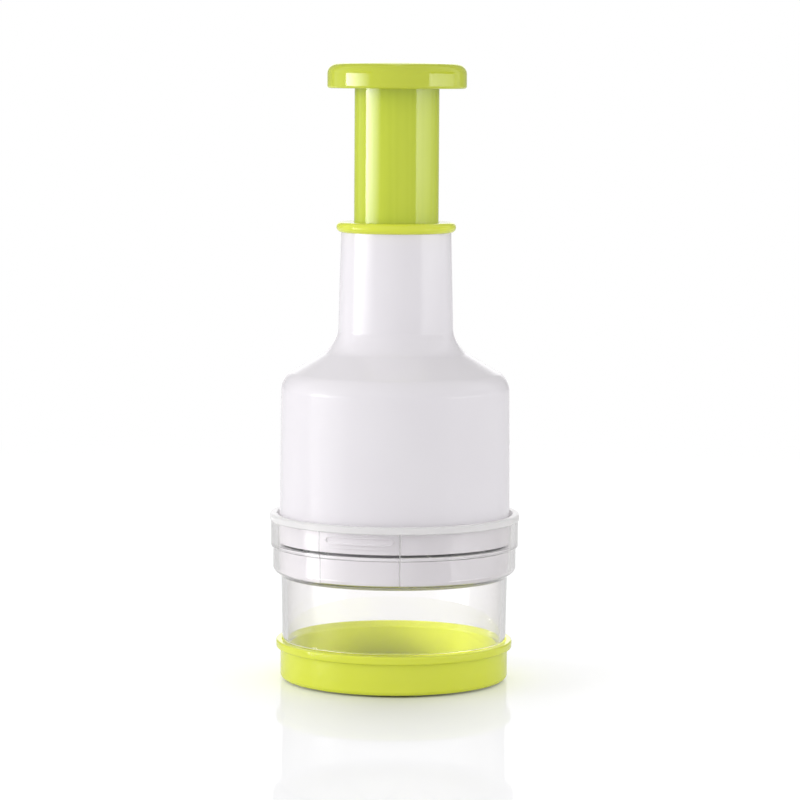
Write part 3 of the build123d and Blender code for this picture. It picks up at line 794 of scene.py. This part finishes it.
@dataclass
class Cup(Assembly):
    """Clear cup with a stepped collar, a rim and shallow channels in the collar's bore."""

    seat: float = 2.5
    top: float = 66.9
    foot_radius: float = 43.7
    foot_wall: float = 1.6
    foot_top: float = 14.0
    low_radius: float = 44.95
    body_low: float = 16.5
    radius: float = 45.4
    wall: float = 2.0
    collar_foot: float = 41.8
    slope_top: float = 44.2
    slope_round: float = 2.5
    lower_radius: float = 48.75
    step: float = 53.4
    upper_radius: float = 49.65
    collar_top: float = 64.2
    rim_radius: float = 50.1
    rim_edge: float = 1.0
    ledge: float = 43.9
    lower_bore: float = 46.5
    bore_step: float = 54.8
    upper_bore: float = 47.1
    step_root: float = 0.1
    step_edge: float = 0.8
    channel_depth: float = 0.35
    channel_width: float = 40.6
    channel_side: float = 0.45
    channel_azimuth: float = -107.5
    channels: int = 3
    channel_steps: int = 30
    land_steps: int = 54
    bore_slack: tuple[float, float] = (0.25, 0.5)
    level_slack: float = 0.01

    def build(self) -> None:
        """Build and dress the cup."""
        section = [
            Corner(self.foot_radius - self.foot_wall, self.seat, EDGE),
            Corner(self.foot_radius, self.seat, EDGE),
            Corner(self.foot_radius, self.foot_top, SOFT),
            Corner(self.low_radius, self.body_low, SOFT),
            Corner(self.radius, self.collar_foot, SOFT),
            Corner(self.lower_radius, self.slope_top, self.slope_round),
            Corner(self.lower_radius, self.step, self.step_root),
            Corner(self.upper_radius, self.step, self.step_edge),
            Corner(self.upper_radius, self.collar_top, FINE),
            Corner(self.rim_radius, self.collar_top, FINE),
            Corner(self.rim_radius, self.top, self.rim_edge),
            Corner(self.upper_bore, self.top, SOFT),
            Corner(self.upper_bore, self.bore_step, FINE),
            Corner(self.lower_bore, self.bore_step, FINE),
            Corner(self.lower_bore, self.ledge, FINE),
            Corner(self.radius - self.wall, self.ledge, EDGE),
            Corner(self.low_radius - self.wall, self.body_low, SOFT),
            Corner(self.foot_radius - self.foot_wall, self.foot_top, SOFT),
        ]
        pitch = 360 / self.channels
        arcs = (
            Arc(self.channel_side, 1),
            Arc(self.channel_width - 2 * self.channel_side, self.channel_steps),
            Arc(self.channel_side, 1),
            Arc(pitch - self.channel_width, self.land_steps),
        ) * self.channels
        start = self.channel_azimuth - self.channel_width / 2
        mesh = self.lathe.turn(section, arcs, start)
        self._sink_channels(mesh)
        self.place("cup_shell", mesh, Body.CUP, Slot.CLEAR, ("clear_cup",))

    def _sink_channels(self, mesh: bmesh.types.BMesh) -> None:
        """Move the collar's bore outwards inside each channel.

        Args:
            mesh: Turned mesh of the cup.
        """
        pitch = 360 / self.channels
        reach = self.channel_width / 2 - self.channel_side / 2
        between = (self.lower_bore + self.upper_bore) / 2
        near, far = self.lower_bore - self.bore_slack[0], self.upper_bore + self.bore_slack[1]
        for vert in mesh.verts:
            turn = math.degrees(math.atan2(vert.co.y, vert.co.x)) - self.channel_azimuth
            off = abs((turn + pitch / 2) % pitch - pitch / 2)
            radius = math.hypot(vert.co.x, vert.co.y) / MM
            height = vert.co.z / MM
            if off > reach or height < self.ledge - self.level_slack or not near < radius < far:
                continue
            bore = self.lower_bore if radius < between else self.upper_bore
            grown = max(radius, bore + self.channel_depth) / radius
            vert.co = (vert.co.x * grown, vert.co.y * grown, vert.co.z)


@dataclass
class Housing(Assembly):
    """Bell-shaped housing with its snap lugs, neck ring and guard ring."""

    wall: float = 2.0
    neck_radius: float = 22.0
    neck_top: float = 179.25
    neck_foot_radius: float = 23.15
    neck_foot: float = 134.15
    neck_round: float = 11.6
    drum_radius: float = 45.65
    shoulder: float = 121.0
    shoulder_slope: float = 30.3
    shoulder_round: float = 8.4
    skirt_radius: float = 46.3
    skirt: float = 55.75
    skirt_edge: float = 0.25
    ring_radius: float = 23.9
    ring_top: float = 183.4
    ring_bore: float = 17.2
    ring_spigot: float = 173.0
    ring_fit: float = 0.15
    ring_flat: float = 0.1
    guard_radius: float = 46.2
    guard_wall: float = 1.8
    guard_foot: float = 43.9
    guard_top: float = 54.6
    guard_hole: float = 38.6
    guard_floor: float = 46.2
    upstand_radius: float = 42.5
    upstand_bore: float = 41.2
    upstand_top: float = 49.2
    tongue_radius: float = 44.15
    tongue_wall: float = 1.45
    tongue_neck: float = 1.1
    tongue_sink: float = 0.4
    tongue_bend: tuple[float, float] = (0.6, 1.6)
    tongue_top: float = 63.4
    tongue_width: float = 38.0
    tongue_steps: int = 24
    bead: float = 0.65
    bead_height: float = 1.8
    bead_width: float = 31.0
    bead_steps: int = 20
    lug_middle: float = 60.9
    lug_azimuths: tuple[float, ...] = (-107.5, 12.5, 132.5)
    panel: Relief = Relief(31.8, 6.6, 0.35, 1.6)
    lug: Relief = Relief(27.5, 3.2, 0.95, 1.6, edge=0.12, rim=0.55, dish=0.5)

    def build(self) -> None:
        """Build and dress the housing and its rings."""
        self.build_bell()
        self.build_neck_ring()
        self.build_guard_ring()

    def build_bell(self) -> None:
        """Build the bell, its panels and its lugs."""
        drop = self.wall * math.tan(math.radians((90 - self.shoulder_slope) / 2))
        section = [
            Corner(self.neck_radius - self.wall, self.neck_top),
            Corner(self.neck_radius, self.neck_top),
            Corner(self.neck_foot_radius, self.neck_foot, self.neck_round),
            Corner(self.drum_radius, self.shoulder, self.shoulder_round),
            Corner(self.skirt_radius, self.skirt, self.skirt_edge),
            Corner(self.skirt_radius - self.wall, self.skirt),
            Corner(
                self.drum_radius - self.wall, self.shoulder - drop,
                self.shoulder_round - self.wall,
            ),
            Corner(
                self.neck_foot_radius - self.wall, self.neck_foot - drop,
                self.neck_round + self.wall,
            ),
        ]
        mesh = self.lathe.turn(section)
        for azimuth in self.lug_azimuths:
            merge(mesh, self.panel.wrap(azimuth, self.skirt_radius, self.lug_middle))
            merge(mesh, self.lug.wrap(azimuth, self.skirt_radius, self.lug_middle))
        self.place("bell_shell", mesh, Body.HOUSING, Slot.WHITE, ("housing_shell",))

    def build_neck_ring(self) -> None:
        """Build the rounded ring that closes the neck."""
        spigot = self.neck_radius - self.wall - self.ring_fit
        edge = (self.ring_top - self.neck_top) / 2 - self.ring_flat / 2
        section = [
            Corner(self.ring_bore, self.ring_spigot, EDGE),
            Corner(spigot, self.ring_spigot, EDGE),
            Corner(spigot, self.neck_top),
            Corner(self.ring_radius, self.neck_top, edge),
            Corner(self.ring_radius, self.ring_top, edge),
            Corner(self.ring_bore, self.ring_top, EDGE),
        ]
        mesh = self.lathe.turn(section)
        self.place("neck_ring_shell", mesh, Body.HOUSING, Slot.LIME, ("neck_ring",))

    def build_guard_ring(self) -> None:
        """Build the ring that carries the wiper, with its snap tongues."""
        inner = self.guard_radius - self.guard_wall
        section = [
            Corner(self.guard_hole, self.guard_foot, EDGE),
            Corner(self.guard_radius, self.guard_foot, SOFT),
            Corner(self.guard_radius, self.guard_top, EDGE),
            Corner(inner, self.guard_top, EDGE),
            Corner(inner, self.guard_floor, EDGE),
            Corner(self.upstand_radius, self.guard_floor, EDGE),
            Corner(self.upstand_radius, self.upstand_top),
            Corner(self.upstand_bore, self.upstand_top),
            Corner(self.upstand_bore, self.guard_floor),
            Corner(self.guard_hole, self.guard_floor),
        ]
        mesh = self.lathe.turn(section)
        for azimuth in self.lug_azimuths:
            merge(mesh, self._tongue(azimuth))
            merge(mesh, self._bead(azimuth))
        self.place("guard_ring_shell", mesh, Body.HOUSING, Slot.WHITE, ("guard_ring",))

    def _tongue(self, azimuth: float) -> bmesh.types.BMesh:
        """Return one tongue's mesh.

        Args:
            azimuth: Middle of the tongue, in degrees.

        Returns:
            The mesh, in metres.
        """
        root = self.guard_radius - self.guard_wall / 2
        bore = self.tongue_radius - self.tongue_wall
        foot = self.guard_top - self.guard_wall
        shelf = self.guard_top - self.tongue_sink
        low, high = (self.skirt + rise for rise in self.tongue_bend)
        section = [
            Corner(bore - self.tongue_neck, foot, EDGE),
            Corner(root, foot),
            Corner(root, shelf),
            Corner(self.tongue_radius - self.tongue_neck, shelf, EDGE),
            Corner(self.tongue_radius - self.tongue_neck, low, EDGE),
            Corner(self.tongue_radius, high, EDGE),
            Corner(self.tongue_radius, self.tongue_top, EDGE),
            Corner(bore, self.tongue_top, EDGE),
            Corner(bore, high, EDGE),
            Corner(bore - self.tongue_neck, low, EDGE),
        ]
        return self.lathe.sector(section, azimuth, self.tongue_width, self.tongue_steps)

    def _bead(self, azimuth: float) -> bmesh.types.BMesh:
        """Return the mesh of the bead that snaps into the skirt's groove.

        Args:
            azimuth: Middle of the bead, in degrees.

        Returns:
            The mesh, in metres.
        """
        low = self.lug_middle - self.bead_height / 2
        high = self.lug_middle + self.bead_height / 2
        section = [
            Corner(self.tongue_radius - self.bead, low),
            Corner(self.tongue_radius, low),
            Corner(self.tongue_radius + self.bead, self.lug_middle, FINE),
            Corner(self.tongue_radius, high),
            Corner(self.tongue_radius - self.bead, high),
        ]
        return self.lathe.sector(section, azimuth, self.bead_width, self.bead_steps)


@dataclass
class Plunger(Assembly):
    """Sleeve that slides in the neck, and the domed knob on it."""

    sleeve_radius: float = 16.9
    sleeve_bore: float = 15.1
    sleeve_foot: float = 171.0
    foot_radius: float = 19.4
    foot_top: float = 173.0
    plate_foot: float = 236.3
    plate_top: float = 238.3
    plate_radius: float = 25.5
    hub_radius: float = 6.0
    hub_foot: float = 233.3
    rod_hole: float = 2.35
    knob_radius: float = 27.8
    knob_top: float = 247.7
    knob_wall: float = 2.2
    knob_edge: float = 1.0
    dome_drop: float = 1.5
    dome_steps: int = 8
    brow_steps: int = 12
    shoulder_drop: float = 5.5
    shoulder_width: float = 3.3
    post_wall: float = 1.8

    def build(self) -> None:
        """Build and dress the sleeve and the knob."""
        self.build_sleeve()
        self.build_knob()

    def build_sleeve(self) -> None:
        """Build the sleeve with its foot and its top plate."""
        section = [
            Corner(self.rod_hole, self.hub_foot, FINE),
            Corner(self.hub_radius, self.hub_foot, EDGE),
            Corner(self.hub_radius, self.plate_foot),
            Corner(self.sleeve_bore, self.plate_foot),
            Corner(self.sleeve_bore, self.sleeve_foot, EDGE),
            Corner(self.foot_radius, self.sleeve_foot, EDGE),
            Corner(self.foot_radius, self.foot_top, EDGE),
            Corner(self.sleeve_radius, self.foot_top, FINE),
            Corner(self.sleeve_radius, self.plate_foot),
            Corner(self.plate_radius, self.plate_foot, EDGE),
            Corner(self.plate_radius, self.plate_top, EDGE),
            Corner(self.rod_hole, self.plate_top, FINE),
        ]
        mesh = self.lathe.turn(section)
        self.place("sleeve_shell", mesh, Body.PLUNGER, Slot.DEEP_LIME, ("plunger_sleeve",))

    def build_knob(self) -> None:
        """Build the hollow cap: a shallow dome that rolls over to a short wall."""
        shoulder = self.knob_radius - self.shoulder_width
        dome = [Corner(0, self.knob_top)]
        for step in range(1, self.dome_steps + 1):
            radius = shoulder * step / self.dome_steps
            dome.append(Corner(radius, self.knob_top - self.dome_drop * (radius / shoulder) ** 2))
        slope = math.atan(2 * self.dome_drop / shoulder)
        brow = self._brow(shoulder, slope)
        roof = self.knob_top - self.knob_wall - self.dome_drop
        section = dome + brow + [
            Corner(self.knob_radius, self.plate_foot, self.knob_edge),
            Corner(self.knob_radius - self.knob_wall, self.plate_foot),
            Corner(self.knob_radius - self.knob_wall, roof - self.shoulder_width / 2),
            Corner(shoulder - self.knob_wall / 2, roof),
            Corner(self.sleeve_bore + self.post_wall, roof),
            Corner(self.sleeve_bore + self.post_wall, self.plate_top),
            Corner(self.sleeve_bore, self.plate_top),
            Corner(self.sleeve_bore, roof),
            Corner(0, roof),
        ]
        mesh = self.lathe.turn(section, closed=False)
        self.place("knob_shell", mesh, Body.PLUNGER, Slot.LIME, ("knob_cap",), KNOB_LIME)

    def _brow(self, shoulder: float, slope: float) -> list[Corner]:
        """Return corners along the roll from the dome to the knob's wall.

        Args:
            shoulder: Radius where the dome ends.
            slope: Downward slope of the dome there, in radians.

        Returns:
            Corners on a quarter of an oval that starts at the dome's slope.
        """
        drop = self.shoulder_drop - self.dome_drop
        top = self.knob_top - self.dome_drop
        corners = []
        for step in range(1, self.brow_steps + 1):
            turn = math.pi / 2 * step / self.brow_steps
            lean = math.sin(slope) * self.shoulder_width * math.sin(turn) * math.cos(turn)
            corners.append(Corner(
                shoulder + self.shoulder_width * math.sin(turn),
                top - drop * (1 - math.cos(turn)) - lean,
            ))
        return corners


@dataclass
class Mechanism(Assembly):
    """Inner pieces: the guide tower, the spring, the rod and the blades."""

    carried: tuple[tuple[str, Body, Slot], ...] = (
        ("wiper_disc", Body.WIPER, Slot.WHITE),
        ("wiper_retainer", Body.HOUSING, Slot.WHITE),
        ("guide_tower", Body.HOUSING, Slot.WHITE),
        ("tower_screws", Body.HOUSING, Slot.STEEL),
        ("twist_nut", Body.HOUSING, Slot.GREY),
        ("nut_pins", Body.HOUSING, Slot.STEEL),
        ("spring_seat", Body.HOUSING, Slot.STEEL),
        ("return_spring", Body.HOUSING, Slot.STEEL),
        ("twist_rod", Body.BLADES, Slot.STEEL),
        ("rod_washer", Body.BLADES, Slot.STEEL),
        ("rod_screw", Body.BLADES, Slot.STEEL),
        ("carrier_hub", Body.BLADES, Slot.GREY),
        ("carrier_plate", Body.BLADES, Slot.GREY),
        ("carrier_screws", Body.BLADES, Slot.STEEL),
        ("cross_pin", Body.BLADES, Slot.STEEL),
        ("zigzag_blade", Body.BLADES, Slot.BLADE),
    )

    def build(self) -> None:
        """Carry the inner pieces over, dress them and give the spring its own mesh."""
        for node, body, slot in self.carried:
            piece = self.carry(node, body, slot)
            if node == "return_spring":
                self._let_give(piece, node, "plunger_press")

    @staticmethod
    def _let_give(spring: bpy.types.Object, node: str, press: str) -> None:
        """Give a spring its own copy of its mesh.

        Args:
            spring: Piece that gets its own mesh.
            node: Node of the frame that it stands for. Not used.
            press: Name of the joint that presses it. Not used.
        """
        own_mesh(spring)


# The studio


@dataclass(frozen=True)
class Card:
    """Upright soft light seen as a glowing card that faces the object, in metres and degrees.

    The card is brightest at its first side and fades to its last, and also towards its foot.
    Glossy faces mirror only its lower part, so that faces seen at a slant don't burn out.
    """

    name: str
    first: float
    last: float
    bright: float
    faint: float
    low: float = 0.04
    high: float = 0.85
    foot_share: float = 0.12
    foot_fade: float = 0.11
    top_share: float = 2.0
    top_rise: tuple[float, float] = (0.22, 0.34)
    mirror_top: tuple[float, float] = (0.22, 0.34)
    mirror_rest: float = 0.05
    matt_share: float = 0.27
    distance: float = 1.8

    def hang(self) -> None:
        """Create the card."""
        half = abs(self.last - self.first) / 2
        width = 2 * self.distance * math.tan(math.radians(half))
        height = self.high - self.low
        mesh = bmesh.new()
        bmesh.ops.create_grid(mesh, x_segments=1, y_segments=1, size=0.5)
        bmesh.ops.scale(mesh, vec=(width, height, 1), verts=mesh.verts[:])
        card = new_object(self.name, mesh)
        turn = math.radians((self.first + self.last) / 2)
        card.location = (
            math.sin(turn) * self.distance,
            -math.cos(turn) * self.distance,
            (self.low + self.high) / 2,
        )
        card.rotation_euler = (math.radians(90), 0, turn)
        card.visible_camera = False
        card.visible_shadow = False
        card.data.materials.append(self._glow(width, height))

    def _glow(self, width: float, height: float) -> bpy.types.Material:
        """Return the card's glowing material.

        Args:
            width: Width of the card.
            height: Height of the card.

        Returns:
            The material.
        """
        material, tree = new_material(f"{self.name}_glow")
        place = add_node(tree, "ShaderNodeTexCoord").outputs["Object"]
        axes = add_node(tree, "ShaderNodeSeparateXYZ", {"Vector": place})
        side = width / 2 if self.last > self.first else -width / 2
        across = add_node(tree, "ShaderNodeMapRange", {
            "Value": axes.outputs["X"], "From Min": -side, "From Max": side,
            "To Min": self.bright, "To Max": self.faint,
        })
        foot = add_node(tree, "ShaderNodeMapRange", {
            "Value": axes.outputs["Y"], "From Min": -height / 2,
            "From Max": self.foot_fade - height / 2, "To Min": self.foot_share,
        })
        middle = (self.low + self.high) / 2
        top = add_node(tree, "ShaderNodeMapRange", {
            "Value": axes.outputs["Y"], "From Min": self.top_rise[0] - middle,
            "From Max": self.top_rise[1] - middle, "To Min": 1.0, "To Max": self.top_share,
        })
        up = add_node(tree, "ShaderNodeMath", {
            0: foot.outputs["Result"], 1: top.outputs["Result"],
        }, operation="MULTIPLY")
        both = add_node(tree, "ShaderNodeMath", {
            0: across.outputs["Result"], 1: up.outputs["Value"],
        }, operation="MULTIPLY")
        shown = add_node(tree, "ShaderNodeMapRange", {
            "Value": axes.outputs["Y"], "From Min": self.mirror_top[0] - middle,
            "From Max": self.mirror_top[1] - middle, "To Min": 1.0, "To Max": self.mirror_rest,
        })
        path = add_node(tree, "ShaderNodeLightPath")
        kept = add_node(tree, "ShaderNodeMapRange", {
            "Value": path.outputs["Is Glossy Ray"], "To Min": self.matt_share,
            "To Max": shown.outputs["Result"],
        })
        level = add_node(tree, "ShaderNodeMath", {
            0: both.outputs["Value"], 1: kept.outputs["Result"],
        }, operation="MULTIPLY")
        thrown = add_node(tree, "ShaderNodeMath", {
            0: path.outputs["Diffuse Depth"], 1: MATT_DEPTH,
        }, operation="GREATER_THAN")
        twice = add_node(tree, "ShaderNodeMath", {
            0: path.outputs["Is Transmission Ray"], 1: thrown.outputs["Value"],
        }, operation="MULTIPLY")
        once = add_node(tree, "ShaderNodeMapRange", {
            "Value": twice.outputs["Value"], "To Min": 1.0, "To Max": 0.0,
        })
        strength = add_node(tree, "ShaderNodeMath", {
            0: level.outputs["Value"], 1: once.outputs["Result"],
        }, operation="MULTIPLY")
        glow = add_node(tree, "ShaderNodeEmission", {"Strength": strength.outputs["Value"]})
        add_node(tree, "ShaderNodeOutputMaterial", {"Surface": glow.outputs["Emission"]})
        return material


@dataclass(frozen=True)
class Table:
    """White satin table that mirrors the object softly, in metres.

    A lift makes it as white as the room behind it, except in a painted shade: a soft oval in
    front of the object where the lift fades out.
    """

    radius: float = 4.0
    sides: int = 96
    drop: float = 0.0007
    colour: str = "#F1F1F2"
    grain_size: float = 3.0
    gloss: tuple[float, float] = (0.015, 0.035)
    mirror_ior: float = 1.3
    mirror_share: float = 0.45
    lift: float = 0.17
    painted_shade_middle: float = -0.04
    painted_shade_squeeze: float = 2.4
    painted_shade_reach: tuple[float, float] = (0.008, 0.11)
    far_start: float = 0.3
    far_end: float = 0.9

    def lay(self) -> None:
        """Create the table."""
        mesh = bmesh.new()
        bmesh.ops.create_circle(mesh, cap_ends=True, segments=self.sides, radius=self.radius)
        table = new_object("table", mesh)
        table.location.z = -self.drop
        table.data.materials.append(self._sheet())

    def _sheet(self) -> bpy.types.Material:
        """Return white satin acrylic that looks evenly white away from the object."""
        material, tree = new_material("white_acrylic_sheet")
        place = add_node(tree, "ShaderNodeTexCoord").outputs["Object"]
        grain = add_node(tree, "ShaderNodeTexNoise", {
            "Vector": place, "Scale": per_mm(self.grain_size), "Detail": 2.0,
        })
        gloss = add_node(tree, "ShaderNodeMapRange", {
            "Value": grain.outputs["Fac"], "To Min": self.gloss[0], "To Max": self.gloss[1],
        })
        matt = add_node(tree, "ShaderNodeBsdfDiffuse", {"Color": linear(self.colour)})
        shine = add_node(tree, "ShaderNodeBsdfAnisotropic", {"Roughness": gloss.outputs["Result"]})
        mirror = add_node(tree, "ShaderNodeFresnel", {"IOR": self.mirror_ior})
        mirror = add_node(tree, "ShaderNodeMath", {
            0: mirror.outputs["Fac"], 1: self.mirror_share,
        }, operation="MULTIPLY")
        satin = add_node(tree, "ShaderNodeMixShader", {
            0: mirror.outputs["Value"], 1: matt.outputs["BSDF"], 2: shine.outputs["BSDF"],
        })
        seen = seen_rays(tree, ("Is Camera Ray", "Is Transmission Ray"))
        away = add_node(tree, "ShaderNodeVectorMath", {0: place}, operation="LENGTH")
        # Painted shade: the lift fades out towards a point just in front of the object, in an oval
        # narrower across than deep
        shift = add_node(tree, "ShaderNodeVectorMath", {
            0: place, 1: (0.0, -self.painted_shade_middle, 0.0),
        }, operation="ADD")
        squeezed = add_node(tree, "ShaderNodeVectorMath", {
            0: shift.outputs["Vector"], 1: (self.painted_shade_squeeze, 1.0, 1.0),
        }, operation="MULTIPLY")
        off = add_node(tree, "ShaderNodeVectorMath", {
            0: squeezed.outputs["Vector"],
        }, operation="LENGTH")
        lift_outside_painted_shade = add_node(tree, "ShaderNodeMapRange", {
            "Value": off.outputs["Value"], "From Min": self.painted_shade_reach[0],
            "From Max": self.painted_shade_reach[1], "To Max": self.lift,
        })
        lift = add_node(tree, "ShaderNodeMath", {
            0: seen, 1: lift_outside_painted_shade.outputs["Result"],
        }, operation="MULTIPLY")
        glow = add_node(tree, "ShaderNodeEmission", {"Strength": lift.outputs["Value"]})
        lit = add_node(tree, "ShaderNodeAddShader", {
            0: satin.outputs["Shader"], 1: glow.outputs["Emission"],
        })
        far = add_node(tree, "ShaderNodeMapRange", {
            "Value": away.outputs["Value"], "From Min": self.far_start, "From Max": self.far_end,
        }, interpolation_type="SMOOTHSTEP")
        share = add_node(tree, "ShaderNodeMath", {
            0: far.outputs["Result"], 1: seen,
        }, operation="MULTIPLY")
        white = add_node(tree, "ShaderNodeEmission", {"Strength": 1.0})
        both = add_node(tree, "ShaderNodeMixShader", {
            0: share.outputs["Value"], 1: lit.outputs["Shader"], 2: white.outputs["Emission"],
        })
        add_node(tree, "ShaderNodeOutputMaterial", {"Surface": both.outputs["Shader"]})
        return material


def seen_rays(tree: bpy.types.NodeTree, kinds: tuple[str, ...]) -> bpy.types.NodeSocket:
    """Tell the rays that the camera sees by from the rays that only light.

    Args:
        tree: Node tree that gets the nodes.
        kinds: Names of the Light Path outputs whose rays count as seen.

    Returns:
        A socket with 1 for such rays that met nothing matt, and 0 for the rest.
    """
    path = add_node(tree, "ShaderNodeLightPath")
    rays = path.outputs[kinds[0]]
    for kind in kinds[1:]:
        rays = add_node(tree, "ShaderNodeMath", {
            0: rays, 1: path.outputs[kind],
        }, operation="MAXIMUM").outputs["Value"]
    straight = add_node(tree, "ShaderNodeMath", {
        0: path.outputs["Diffuse Depth"], 1: MATT_DEPTH,
    }, operation="LESS_THAN")
    seen = add_node(tree, "ShaderNodeMath", {
        0: rays, 1: straight.outputs["Value"],
    }, operation="MULTIPLY")
    return seen.outputs["Value"]


@dataclass(frozen=True)
class Room:
    """White surroundings: soft light from half high up, dark flags at the back, a bright end.

    Angles are in degrees from the front, and heights are a direction's Z.
    """

    horizon: float = 0.7
    middle: float = 1.0
    zenith: float = 0.42
    back_gain: float = 1.35
    back_rise: tuple[float, float] = (80.0, 130.0)
    rise: tuple[float, float] = (0.1, 0.25)
    fall: tuple[float, float] = (0.65, 0.88)
    flag: float = 0.35
    flag_start: float = 126.0
    flag_end: float = 166.0
    flag_edge: float = 4.0
    end_gain: float = 1.6
    end_rise: tuple[float, float] = (0.04, 0.12)

    def light(self) -> None:
        """Create the world."""
        world = bpy.data.worlds.new("white_room")
        bpy.context.scene.world = world
        world.use_nodes = True
        tree = world.node_tree
        tree.nodes.clear()
        towards = add_node(tree, "ShaderNodeTexCoord").outputs["Generated"]
        height = add_node(tree, "ShaderNodeSeparateXYZ", {"Vector": towards}).outputs["Z"]
        azimuth = self._azimuth(tree, towards)
        steps = self._steps(tree, height, azimuth)
        around = add_node(tree, "ShaderNodeMath", {
            0: steps["rise"], 1: steps["fall"],
        }, operation="MULTIPLY")
        soft = add_node(tree, "ShaderNodeMath", {
            0: around.outputs["Value"], 1: steps["back"],
        }, operation="MULTIPLY")
        flagged = add_node(tree, "ShaderNodeMix", {
            0: steps["end"], 2: steps["flag"], 3: steps["gain"],
        })
        mirrored = add_node(tree, "ShaderNodeMix", {
            0: seen_rays(tree, ("Is Glossy Ray",)), 2: soft.outputs["Value"],
            3: flagged.outputs[0],
        })
        level = add_node(tree, "ShaderNodeMix", {
            0: seen_rays(tree, ("Is Camera Ray", "Is Transmission Ray")),
            2: mirrored.outputs[0], 3: 1.0,
        })
        sky = add_node(tree, "ShaderNodeBackground", {
            "Color": (1, 1, 1, 1), "Strength": level.outputs[0],
        })
        add_node(tree, "ShaderNodeOutputWorld", {"Surface": sky.outputs["Background"]})

    @staticmethod
    def _azimuth(
        tree: bpy.types.NodeTree, towards: bpy.types.NodeSocket
    ) -> bpy.types.NodeSocket:
        """Return how far round from the front a direction is, in radians.

        Args:
            tree: Node tree of the world.
            towards: Socket with the direction.

        Returns:
            Socket with the angle, from 0 at the front to pi at the back.
        """
        level = add_node(tree, "ShaderNodeVectorMath", {
            0: towards, 1: LEVEL,
        }, operation="MULTIPLY")
        unit = add_node(tree, "ShaderNodeVectorMath", {
            0: level.outputs["Vector"],
        }, operation="NORMALIZE")
        front = add_node(tree, "ShaderNodeVectorMath", {
            0: unit.outputs["Vector"], 1: (0.0, -1.0, 0.0),
        }, operation="DOT_PRODUCT")
        return add_node(tree, "ShaderNodeMath", {
            0: front.outputs["Value"],
        }, operation="ARCCOSINE").outputs["Value"]

    def _steps(
        self,
        tree: bpy.types.NodeTree,
        height: bpy.types.NodeSocket,
        azimuth: bpy.types.NodeSocket,
    ) -> dict[str, bpy.types.NodeSocket]:
        """Return the smooth steps that the room's brightness is made of.

        Args:
            tree: Node tree of the world.
            height: Socket with a direction's height.
            azimuth: Socket with its angle from the front.

        Returns:
            Step name to a socket. Rise, fall and back shape the soft light. Flag, gain and end
            shape what a mirror sees: the dark flags, the bright end, and where that takes over.
        """
        back, flag, end = (
            tuple(math.radians(angle) for angle in span) for span in (
                self.back_rise,
                (self.flag_start - self.flag_edge, self.flag_start + self.flag_edge),
                (self.flag_end - self.flag_edge, self.flag_end + self.flag_edge),
            )
        )
        plan = {
            "rise": (height, self.rise, (self.horizon, self.middle)),
            "fall": (height, self.fall, (1.0, self.zenith / self.middle)),
            "back": (azimuth, back, (1.0, self.back_gain)),
            "flag": (azimuth, flag, (1.0, self.flag)),
            "gain": (height, self.end_rise, (1.0, self.end_gain)),
            "end": (azimuth, end, (0.0, 1.0)),
        }
        return {
            name: add_node(tree, "ShaderNodeMapRange", {
                "Value": value, "From Min": span[0], "From Max": span[1],
                "To Min": levels[0], "To Max": levels[1],
            }, interpolation_type="SMOOTHSTEP").outputs["Result"]
            for name, (value, span, levels) in plan.items()
        }


@dataclass(frozen=True)
class Viewpoint:
    """Camera at the photographed view, in metres and degrees, with its lens in millimetres."""

    lens: float = 153.0
    film: float = 36.0
    reach: float = 50.0
    distance: float = 1.3563
    height: float = 0.2398
    pitch: float = 5.38
    yaw: float = -0.08
    roll: float = 0.346

    def set(self) -> None:
        """Create the camera."""
        view = bpy.data.cameras.new("front_view")
        view.lens = self.lens
        view.sensor_width = self.film
        view.clip_end = self.reach
        camera = bpy.data.objects.new("front_view", view)
        camera.matrix_world = (
            Matrix.Translation((0, -self.distance, self.height))
            @ Matrix.Rotation(math.radians(self.yaw), 4, "Z")
            @ Matrix.Rotation(math.radians(90 - self.pitch), 4, "X")
            @ Matrix.Rotation(math.radians(self.roll), 4, "Z")
        )
        bpy.context.scene.collection.objects.link(camera)
        bpy.context.scene.camera = camera


class Studio:
    """Table, room, light cards and camera."""

    cards: tuple[Card, ...] = (
        Card("left_card", -92.0, -43.0, 16.0, 0.6),
        Card("right_card", 54.0, 108.0, 5.2, 1.6),
    )

    def build(self) -> None:
        """Build the studio."""
        Table().lay()
        Room().light()
        for card in self.cards:
            card.hang()
        Viewpoint().set()


def main() -> None:
    """Build the chopper and the studio."""
    bpy.context.scene.view_settings.view_transform = "Standard"
    Studio().build()
    for assembly in (Tray(), Cup(), Housing(), Plunger(), Mechanism()):
        assembly.build()


if __name__ == "__main__":
    main()
